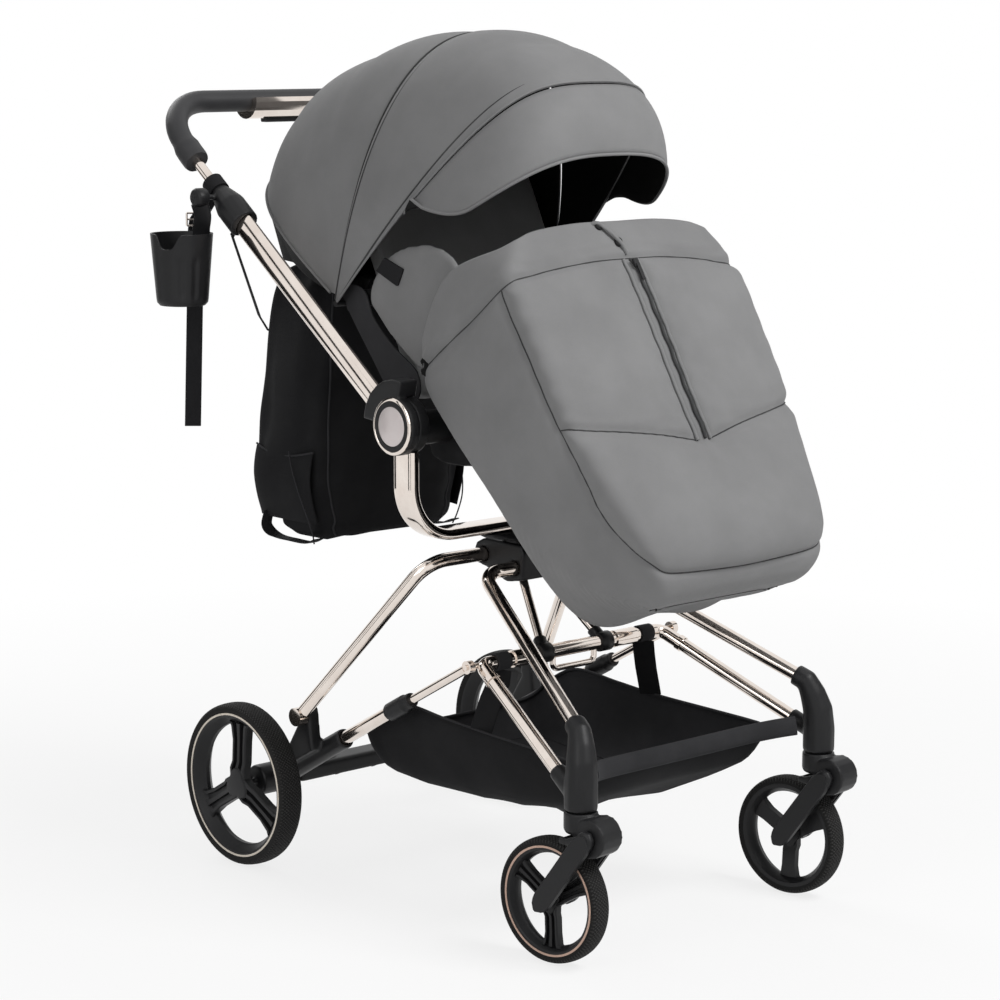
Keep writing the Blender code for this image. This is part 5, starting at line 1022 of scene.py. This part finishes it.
MUFF = [muff_row(*station) for station in (
    ((0.203, 0.944), (0.330, 0.803), 0.190, 0.211, 0.020, None, 0.020, 0.017),
    ((0.162, 0.883), (0.322, 0.757), 0.219, 0.219, 0.026, None, 0.0),
    ((0.108, 0.797), (0.268, 0.697), 0.219, 0.219, 0.026, None, 0.0),
    ((0.054, 0.710), (0.205, 0.632), 0.214, 0.216, 0.024, None, 0.0),
    ((-0.003, 0.626), (0.131, 0.552), 0.192, 0.194, 0.022, (0.128, 0.442), 0.0),
    ((-0.060, 0.542), (0.054, 0.496), 0.166, 0.164, 0.018, (0.050, 0.450), 0.0),
    ((-0.056, 0.497), (-0.010, 0.478), 0.140, 0.136, 0.008, (0.006, 0.460), 0.0),
    ((-0.014, 0.4665), (-0.0135, 0.4660), 0.104, 0.103, 0.0005, (-0.0132, 0.4657), 0.0))]
MUFF_ROWS = 7.0
MUFF_TURNS = 14.0
ROW_STEPS = 26
TURN_STEPS = 20
muff = eased(MUFF, ROW_STEPS)
muff = np.swapaxes(eased(np.swapaxes(muff, 0, 1), TURN_STEPS), 0, 1)


def on_muff(row, turn, sheet=muff):
    """The pram point at a place of the muff's sheet, its turn counted from one hem to the other."""
    place = min(row * ROW_STEPS, len(sheet) - 1.001)
    along = min(turn * TURN_STEPS, sheet.shape[1] - 1.001)
    i, j = int(place), int(along)
    u, v = place - i, along - j
    return (sheet[i, j] * (1 - u) * (1 - v) + sheet[i + 1, j] * u * (1 - v) + sheet[i, j + 1] * (1 - u) * v
            + sheet[i + 1, j + 1] * u * v)


def sewn(route, sheet=muff, steps=40):
    """Points of a seam along places of the muff's sheet."""
    return np.array([on_muff(row, turn, sheet) for row, turn in eased(route, steps)])


panel_half = [(0.95, 10.12), (2.0, 10.12), (3.05, 10.14), (3.67, 10.25), (4.25, 10.42), (4.72, 10.32),
              (5.06, 10.02), (5.36, 9.42), (5.56, 8.4), (5.66, 7.0)]
chevron_half = [(3.02, 10.12), (3.14, 9.1), (3.32, 8.0), (3.5, 7.12)]
border_half = [(0.84, 12.1), (0.93, 11.3), (0.97, 10.6), (0.95, 10.1), (0.90, 9.2), (0.83, 8.4),
               (0.78, 7.6), (0.77, 7.0)]
seams = {"panel": panel_half + [(r, 14 - t) for r, t in reversed(panel_half[:-1])], "chevron": chevron_half,
         "chevron_far": [(r, 14 - t) for r, t in chevron_half],
         "border": border_half + [(r, 14 - t) for r, t in reversed(border_half[:-1])],
         "zip_left": [(0.80, 7.14), (2.0, 7.14), (3.5, 7.14)],
         "zip_right": [(0.80, 6.86), (2.0, 6.86), (3.5, 6.86)]}
sewn_points = np.concatenate([sewn(route) for route in seams.values()])
along_rows = np.gradient(muff, axis=0)
along_turns = np.gradient(muff, axis=1)
outward = np.cross(along_turns, along_rows)
outward /= np.linalg.norm(outward, axis=2, keepdims=True) + 1e-12
nearest = np.empty(muff.shape[:2])
for number, row in enumerate(muff):
    nearest[number] = np.sqrt(((row[:, None, :] - sewn_points[None]) ** 2).sum(axis=-1)).min(axis=1)
puff = 0.0100 * (1 - np.exp(-(nearest / 0.024) ** 1.25)) - 0.0036
puff -= 0.0026 * np.exp(-(nearest / 0.0050) ** 2)
turns_here = np.arange(muff.shape[1]) / TURN_STEPS
rows_here = np.arange(len(muff))[:, None] / ROW_STEPS
hem = np.minimum(turns_here, MUFF_TURNS - turns_here)[None, :]
puff *= np.clip(hem / 1.5, 0.25, 1.0) * np.clip((MUFF_ROWS - rows_here) / 0.6, 0.0, 1.0)
crease = (0.0009 * np.sin(rows_here * 17.0 + np.sin(turns_here * 2.0) * 2.0)
          * np.exp(-((nearest - 0.012) / 0.010) ** 2) * np.clip((5.2 - rows_here) / 0.8, 0.0, 1.0))
gather = (0.0007 * np.sin(rows_here * 46.0) * np.exp(-((hem - 1.9) / 0.5) ** 2)
          * np.clip((rows_here - 3.0) / 1.5, 0.0, 1.0))
muff_cloth = muff + outward * (puff + crease + gather)[..., None]
muff_piece = cloth("muff_cloth", muff_cloth, 0.004, (grey_cloth, lining), "seat_unit", ("footmuff",),
                   taper=np.clip((6.98 - rows_here[:, 0]) / 1.2, 0.0, 1.0))
# The muff's seams are laid in dark grey, painted shade of the sewn grooves; the zip's lips are laid in the
# cloth.
for name, route in seams.items():
    lip = "zip" in name
    line = [Vector(p) + MUFF_OUT * (0.0022 if lip else 0.0002) for p in sewn(route, muff_cloth)]
    seam("muff_seam_" + name, line, 0.0026 if lip else 0.0009, grey_cloth if lip else seam_shade_and_coil_grey, "seat_unit")

# Zip of the muff: a dark coil between two turned lips, its slider and pull, and the loop that holds
# the border down through two eyelets.
repaint("zip_slider", moulded)
coil = [Vector(p) + MUFF_OUT * 0.0012 for p in sewn([(0.80, 7.0), (2.0, 7.0), (3.5, 7.0)], muff_cloth)]
seam("zip_coil", coil, 0.0024, seam_shade_and_coil_grey, "seat_unit")
tie = []
for row, turn, lift in ((0.02, 7.62, -0.006), (0.06, 7.50, 0.006), (0.20, 7.36, 0.0075),
                        (0.40, 7.22, 0.008), (0.56, 7.10, 0.007), (0.70, 7.03, 0.004)):
    tie.append(Vector(on_muff(row, turn, muff_cloth)) + Vector((0.0, -0.6, 0.8)) * (lift - 0.003))
seam("border_tie", [tuple(p) for p in eased([tuple(p) for p in tie], 6)], 0.0028, grey_cloth, "seat_unit")
for number, (row, turn) in enumerate(((0.10, 7.44), (0.46, 7.14))):
    across = Vector(on_muff(row, turn + 0.1, muff_cloth)) - Vector(on_muff(row, turn - 0.1, muff_cloth))
    down = Vector(on_muff(row + 0.1, turn, muff_cloth)) - Vector(on_muff(row - 0.08, turn, muff_cloth))
    straight = across.cross(down).normalized()
    straight = straight if straight.y < 0 else -straight
    spun(f"border_eyelet_{number}", [(0.0036, -0.001), (0.0036, 0.0022), (0.0050, 0.0032), (0.0064, 0.0022),
                                     (0.0068, -0.001)], spot(*(Vector(on_muff(row, turn, muff_cloth))
                                                               + straight * 0.0006)), straight, moulded,
         "seat_unit", 32)

# Seat: a padded seat with its leg rest, and a padded back with side wings.


def plate_outline(points, steps):
    """A smooth closed outline through points of the side view."""
    looped = np.array(list(points[-1:]) + list(points) + list(points[:2]), dtype=float)
    return eased(looped, steps)[steps:-steps - 1]


def plate(name, outline, sides, finish):
    """A flat panel on the back, one side-view outline deep between two distances from the middle."""
    verts = [(x + SHIFT.x, y + SHIFT.y, z) for x in sides for y, z in outline]
    count = len(outline)
    faces = ring_faces(2, count) + [tuple(range(count)), tuple(range(2 * count - 1, count - 1, -1))]
    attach(mesh_object(name, verts, faces, finish, smooth=False), "back")


def cushion(name, outline, middle_x, half_x, round_off, finish, body, stands_for=(), cap=0.006):
    """A closed pad whose outline is drawn in the side view, its edges rounded across the pram, inflated."""
    verts = []
    centre = outline.mean(axis=0)
    levels = [(-1.0, 0.0), (-1.0, 0.5), (-0.985, 0.82), (-0.94, 0.95)] + [(k / 6 * 0.88, 1.0)
            for k in range(-6, 7)]
    levels += [(0.94, 0.95), (0.985, 0.82), (1.0, 0.5), (1.0, 0.0)]
    count = len(outline)
    for x, share in levels:
        for point in outline:
            inward = centre - point
            pulled = point + inward / max(np.linalg.norm(inward), 1e-9) * round_off * (1 - share)
            verts.append((middle_x + half_x * x + SHIFT.x, pulled[0] + SHIFT.y, pulled[1]))
    pad = mesh_object(name, verts, ring_faces(len(levels), count) + end_faces(len(levels), count), finish)
    inflate(pad, 0.005, cap)
    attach(pad, body)
    if stands_for:
        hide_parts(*stands_for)
    return pad


def inflate(pad, voxel, cap):
    """Blows a pad up from inside, each point by no more than the cap, and keeps the result."""
    remesh = pad.modifiers.new("Voxels", "REMESH")
    remesh.mode = "VOXEL"
    remesh.voxel_size = voxel
    rest_data = bpy.data.meshes.new_from_object(pad.evaluated_get(bpy.context.evaluated_depsgraph_get()))
    finishes = [slot.material for slot in pad.material_slots]
    pad.modifiers.clear()
    pad.data = rest_data
    rest = np.array([v.co[:] for v in rest_data.vertices])
    blow = pad.modifiers.new("Cloth", "CLOTH")
    blow.settings.use_pressure = True
    blow.settings.uniform_pressure_force = 4.0
    blow.settings.effector_weights.gravity = 0.0
    blow.settings.quality = 5
    for frame_number in range(1, 21):
        bpy.context.scene.frame_set(frame_number)
    graph = bpy.context.evaluated_depsgraph_get()
    blown = np.array([v.co[:] for v in pad.evaluated_get(graph).data.vertices])
    pad.modifiers.clear()
    bpy.context.scene.frame_set(1)
    move = blown - rest
    length = np.linalg.norm(move, axis=1, keepdims=True)
    move *= np.minimum(1.0, cap / np.maximum(length, 1e-9))
    rest_data.vertices.foreach_set("co", (rest + move).ravel())
    rest_data.materials.clear()
    for finish in finishes:
        rest_data.materials.append(finish)
    rest_data.shade_smooth()
    finer = pad.modifiers.new("Finer", "SUBSURF")
    finer.levels = 1
    finer.render_levels = 1


slate_cloth = woven("slate_polyester", (0.026, 0.026, 0.028), (0.040, 0.040, 0.043))
black_cloth = woven("black_polyester", (0.008, 0.008, 0.009), (0.014, 0.014, 0.015))
RECLINE = (0.404, 0.716)
lean = math.radians(26.5)


def on_back(along, out):
    """A side-view point of the backrest: along it from its hinge, and out to its front face."""
    return (RECLINE[0] + along * math.sin(lean) - out * math.cos(lean),
            RECLINE[1] + along * math.cos(lean) + out * math.sin(lean))


back_shape = plate_outline([on_back(-0.012, 0.0), on_back(0.0, 0.0135), on_back(0.09, 0.0150),
                            on_back(0.20, 0.0150), on_back(0.32, 0.0140), on_back(0.341, 0.0),
                            on_back(0.32, -0.0130), on_back(0.20, -0.0145), on_back(0.09, -0.0145),
                            on_back(0.0, -0.0135)], 8)
cushion("back_pad", back_shape, 0.0, 0.166, 0.010, grey_cloth, "back", ("backrest",), 0.004)
pan_shape = plate_outline([(0.100, 0.533), (0.113, 0.535), (0.180, 0.628), (0.280, 0.626), (0.368, 0.628),
                           (0.370, 0.676), (0.280, 0.678), (0.190, 0.677), (0.168, 0.672), (0.135, 0.612),
                           (0.099, 0.546)], 8)
cushion("seat_pad", pan_shape, 0.0, 0.170, 0.008, black_cloth, "seat_unit", ("seat_pan",), 0.003)
top_shape = plate_outline([(0.142, 0.607), (0.170, 0.668), (0.190, 0.677), (0.280, 0.678), (0.362, 0.677),
                           (0.366, 0.685), (0.280, 0.6885), (0.186, 0.688), (0.162, 0.674), (0.134, 0.612)],
                          8)
cushion("seat_topper", top_shape, 0.0, 0.158, 0.003, grey_cloth, "seat_unit", (), 0.002)
wing_shape = [(0.480, 0.848), (0.452, 0.896), (0.395, 0.922), (0.330, 0.922), (0.290, 0.890),
              (0.300, 0.820), (0.330, 0.760), (0.370, 0.752), (0.425, 0.786), (0.462, 0.818)]
for side in (1, -1):
    wing = plate_outline(wing_shape, 8)
    cushion(f"side_wing{side}", wing, side * 0.1835, 0.0045, 0.012, grey_cloth, "back", (),
                      0.002)
    gusset = plate_outline([(0.532, 0.842), (0.515, 0.860), (0.484, 0.852), (0.466, 0.818), (0.425, 0.782),
                            (0.372, 0.748), (0.372, 0.712), (0.420, 0.708), (0.470, 0.762)], 6)
    plate(f"side_gusset{side}", gusset, (side * 0.1890, side * 0.1912), slate_cloth)
    arm = [(side * 0.1790, 0.455, 0.846), (side * 0.1790, 0.500, 0.842), (side * 0.1830, 0.531, 0.833)]
    band(f"hood_arm{side}", arm, (0, 0.3, 1), 0.0045, 0.012, (0.5, 0.5), moulded, "back", (), 20)
    tube(f"hood_pin{side}", [Vector((side * 0.178, HINGE_Y, HINGE_Z)),
                             Vector((side * 0.2070, HINGE_Y, HINGE_Z))], 0.0045, moulded, "back")
    tube(f"recline_pin{side}", [Vector((side * 0.160, *RECLINE)), Vector((side * 0.180, *RECLINE))], 0.005,
         moulded, "back")
    spun(f"seat_boss{side}", [(0.0, 0.0), (0.0235, 0.0), (0.0235, 0.052), (0.022, 0.055), (0.0, 0.055)],
         spot(side * 0.173, CENTRE_Y, 0.678), (side, 0, 0), moulded, "seat_unit", 48)
tab = [(0.458, 0.883), (0.440, 0.902), (0.400, 0.889), (0.401, 0.886), (0.411, 0.866), (0.414, 0.865)]
plate("harness_tab", tab, (-0.1895, -0.1925), webbing)

# Bumper bar: a bent steel tube in a padded leatherette sleeve, under the muff's border.
tube("bumper_sleeve", there_and_back(rounded([(0.180, 0.3150, 0.7060), (0.180, 0.228, 0.878),
                                              (0.0, 0.228, 0.878)], [0.045])), 0.011, leather, "seat_unit",
     ("bumper_bar",))

# Basket: a tray of slate cloth, black inside, with a piped rim, hung from the crossbar by two loops.
# The rows stop short of the middle, so the floor has a hole there, which is a fault.
RIM = [(0.0, 0.050, 0.250), (0.120, 0.050, 0.251), (0.166, 0.055, 0.2525), (0.1735, 0.076, 0.253),
       (0.172, 0.150, 0.255), (0.169, 0.258, 0.258), (0.169, 0.340, 0.263), (0.169, 0.425, 0.268),
       (0.168, 0.478, 0.246), (0.158, 0.515, 0.214), (0.110, 0.524, 0.206), (0.0, 0.526, 0.204)]
half_rim = eased(RIM, 12)
rim_line = np.concatenate([half_rim, half_rim[-2:0:-1] * (-1, 1, 1)])
middle = np.array([0.0, 0.290, 0.0])
floor_height = np.interp(rim_line[:, 1], [0.05, 0.10, 0.20, 0.32, 0.45, 0.53],
                         [0.190, 0.176, 0.156, 0.146, 0.148, 0.156])
rows = []
for sink, inset in ((0.0, 0.0), (0.05, -0.0035), (0.12, -0.004), (0.25, -0.002), (0.40, 0.002),
                    (0.56, 0.008), (0.72, 0.016), (0.84, 0.025), (0.93, 0.036), (0.98, 0.050), (1.0, 0.072),
                    (1.0, 0.100), (1.0, 0.135), (1.0, 0.166)):
    inward = middle - rim_line * (1, 1, 0)
    reach = np.linalg.norm(inward, axis=1, keepdims=True)
    ring = rim_line + inward / reach * np.minimum(inset, reach * 0.98)
    low = floor_height + (0.147 - floor_height) * min(1.0, max(0.0, (inset - 0.04) / 0.10))
    ring[:, 2] += (low - ring[:, 2]) * sink
    sag = np.sin(np.linspace(0, 14 * math.pi, len(ring), endpoint=False)) * 0.0018 * min(1.0,
            sink * 4) * (1 - sink)
    ring += inward / reach * sag[:, None]
    rows.append(ring)
rows = np.array(rows)
looped = np.concatenate([rows, rows[:, :1]], axis=1)
stretched(cloth("basket_cloth", rows, 0.0022, (slate_cloth, black_cloth), "chassis", ("basket",),
                closed=True), looped, "basket_hem", "basket_loop1", "basket_loop-1")
seam("basket_rim", np.concatenate([rim_line, rim_line[:2]]), 0.0024, slate_cloth, "chassis")
seam("basket_foot_seam", looped[8], 0.0012, slate_cloth, "chassis")
hem_line = [(0.198 * t, 0.0475 - 0.034 * abs(t) ** 5, 0.2445 + 0.009 * t ** 4)
            for t in np.linspace(-1, 1, 49)]
band("basket_hem", hem_line, (0, 0.12, 1), 0.0085, 0.0135, (1.0, 0.8), slate_cloth, "chassis", (), 24)
LOOP_REACH = 0.139
for side in (1, -1):
    spun(f"basket_loop{side}", [(0.0104, -0.012), (0.0104, 0.012), (0.0124, 0.012), (0.0124, -0.012)],
         spot(side * LOOP_REACH, bar_y, bar_z), (1, 0, 0), slate_cloth, "chassis", 48)
    band(f"basket_strap{side}", [(side * LOOP_REACH, bar_y, bar_z - 0.0115),
                                 (side * 0.141, bar_y, bar_z - 0.028),
                                 (side * 0.1515, bar_y + 0.006, 0.300),
                                 (side * 0.1655, bar_y + 0.010, 0.2590)], (0.5, -1, 0), 0.0009, 0.0165,
         (0.4, 0.3), black_cloth, "chassis", (), 12)

# Changing bag: black polyester, piped down its sides, a pocket low on each side, behind the seat on
# two webbing straps. It is drawn by formula and not simulated.
BAG_RINGS = [(0.876, 0.690, 0.742, 0.082), (0.868, 0.672, 0.764, 0.108), (0.846, 0.656, 0.786, 0.128),
             (0.780, 0.647, 0.803, 0.142), (0.700, 0.646, 0.811, 0.147), (0.620, 0.646, 0.817, 0.151),
             (0.560, 0.646, 0.820, 0.153), (0.528, 0.647, 0.812, 0.148), (0.500, 0.649, 0.786, 0.138),
             (0.480, 0.654, 0.776, 0.134), (0.468, 0.662, 0.762, 0.122)]
bag_turns = cup_turns
bag_rows = []
for number, (z, front, rear, half) in enumerate(eased(BAG_RINGS, 8)):
    flute = 0.0022 * np.sin(bag_turns * 9 + number * 0.11) + 0.0020 * np.sin(bag_turns * 4 - number * 0.2)
    flute += 0.0016 * math.sin(number * 0.55) * np.cos(bag_turns * 3)
    x = half * np.sign(np.cos(bag_turns)) * np.abs(np.cos(bag_turns)) ** 0.45
    y = ((front + rear) / 2
         + (rear - front) / 2 * np.sign(np.sin(bag_turns)) * np.abs(np.sin(bag_turns)) ** 0.5)
    shrink = 0.985 + flute / 0.14
    bag_rows.append(np.stack([x * shrink, (front + rear) / 2 + (y - (front + rear) / 2) * shrink,
                              np.full(AROUND, z) + flute * 0.8], axis=-1))
bag_rows = np.array(bag_rows)
bag_verts = (bag_rows.reshape(-1, 3) + np.array(SHIFT)).tolist()
bag_faces = ring_faces(len(bag_rows), AROUND) + end_faces(len(bag_rows), AROUND)
bag = mesh_object("changing_bag", bag_verts, bag_faces, black_cloth)
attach(bag, "back")
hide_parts("bag_body")
for number, turn in enumerate((14, 34, 62, 82)):
    edge = [tuple(row[turn] * (1.004, 1.0, 1.0)) for row in bag_rows]
    seam(f"bag_piping_{number}", edge, 0.0016, slate_cloth, "back")
for side in (1, -1):
    band(f"bag_strap{side}", [(side * 0.1325, 0.782, 0.770), (side * 0.1450, 0.787, 0.792),
                              (side * 0.2300, 0.738, 0.918), (side * 0.2215, 0.723, 0.944)], (0.3, 1, 0.2),
         0.0010, 0.0055, (0.4, 0.3), webbing, "back", (), 12)
    pocket = [[(side * (0.1500 + bulge), y, z) for y in np.linspace(0.662, 0.797, 15)] for z,
              bulge in ((0.600, 0.0005), (0.597, 0.0022), (0.580, 0.0045), (0.552, 0.0060), (0.520, 0.0020),
                        (0.492, -0.0070))]
    pocket = eased(np.array(pocket).reshape(6, -1), 5).reshape(26, 15, 3)
    pocket[:, :, 0] -= (side * 0.006 * (np.linspace(-1, 1, 15)[None, :]) ** 4
                        + side * 0.0012 * np.sin(np.linspace(0, 9, 26))[:, None])
    pocket[:, :, 2] -= 0.010 * np.sin(np.linspace(0, math.pi, 15))[None, :] * np.linspace(1, 0, 26)[:, None]
    pocket = eased(np.swapaxes(pocket, 0, 1).reshape(15, -1), 3).reshape(43, 26, 3)
    stretched(cloth(f"bag_pocket{side}", pocket if side > 0 else pocket[::-1], 0.0012, (black_cloth,),
                    "back"), pocket, "changing_bag")
    seam(f"pocket_edge{side}", pocket[:, 0], 0.0016, slate_cloth, "back")
    seam(f"pocket_cord{side}", eased([(side * 0.1600, 0.700, 0.600), (side * 0.1610, 0.690, 0.570),
                                      (side * 0.1590, 0.676, 0.535), (side * 0.1520, 0.668, 0.505),
                                      (side * 0.1420, 0.668, 0.478), (side * 0.1360, 0.672, 0.462)], 6),
         0.0011, slate_cloth, "back")
    band(f"bag_foot_strap{side}", eased([(side * 0.139, 0.776, 0.500), (side * 0.139, 0.782, 0.476),
                                         (side * 0.128, 0.770, 0.461), (side * 0.128, 0.730, 0.4595),
                                         (side * 0.130, 0.690, 0.461), (side * 0.134, 0.664, 0.470)], 6),
         (1, 0, 0), 0.0010, 0.010, (0.4, 0.3), webbing, "back", (), 12)
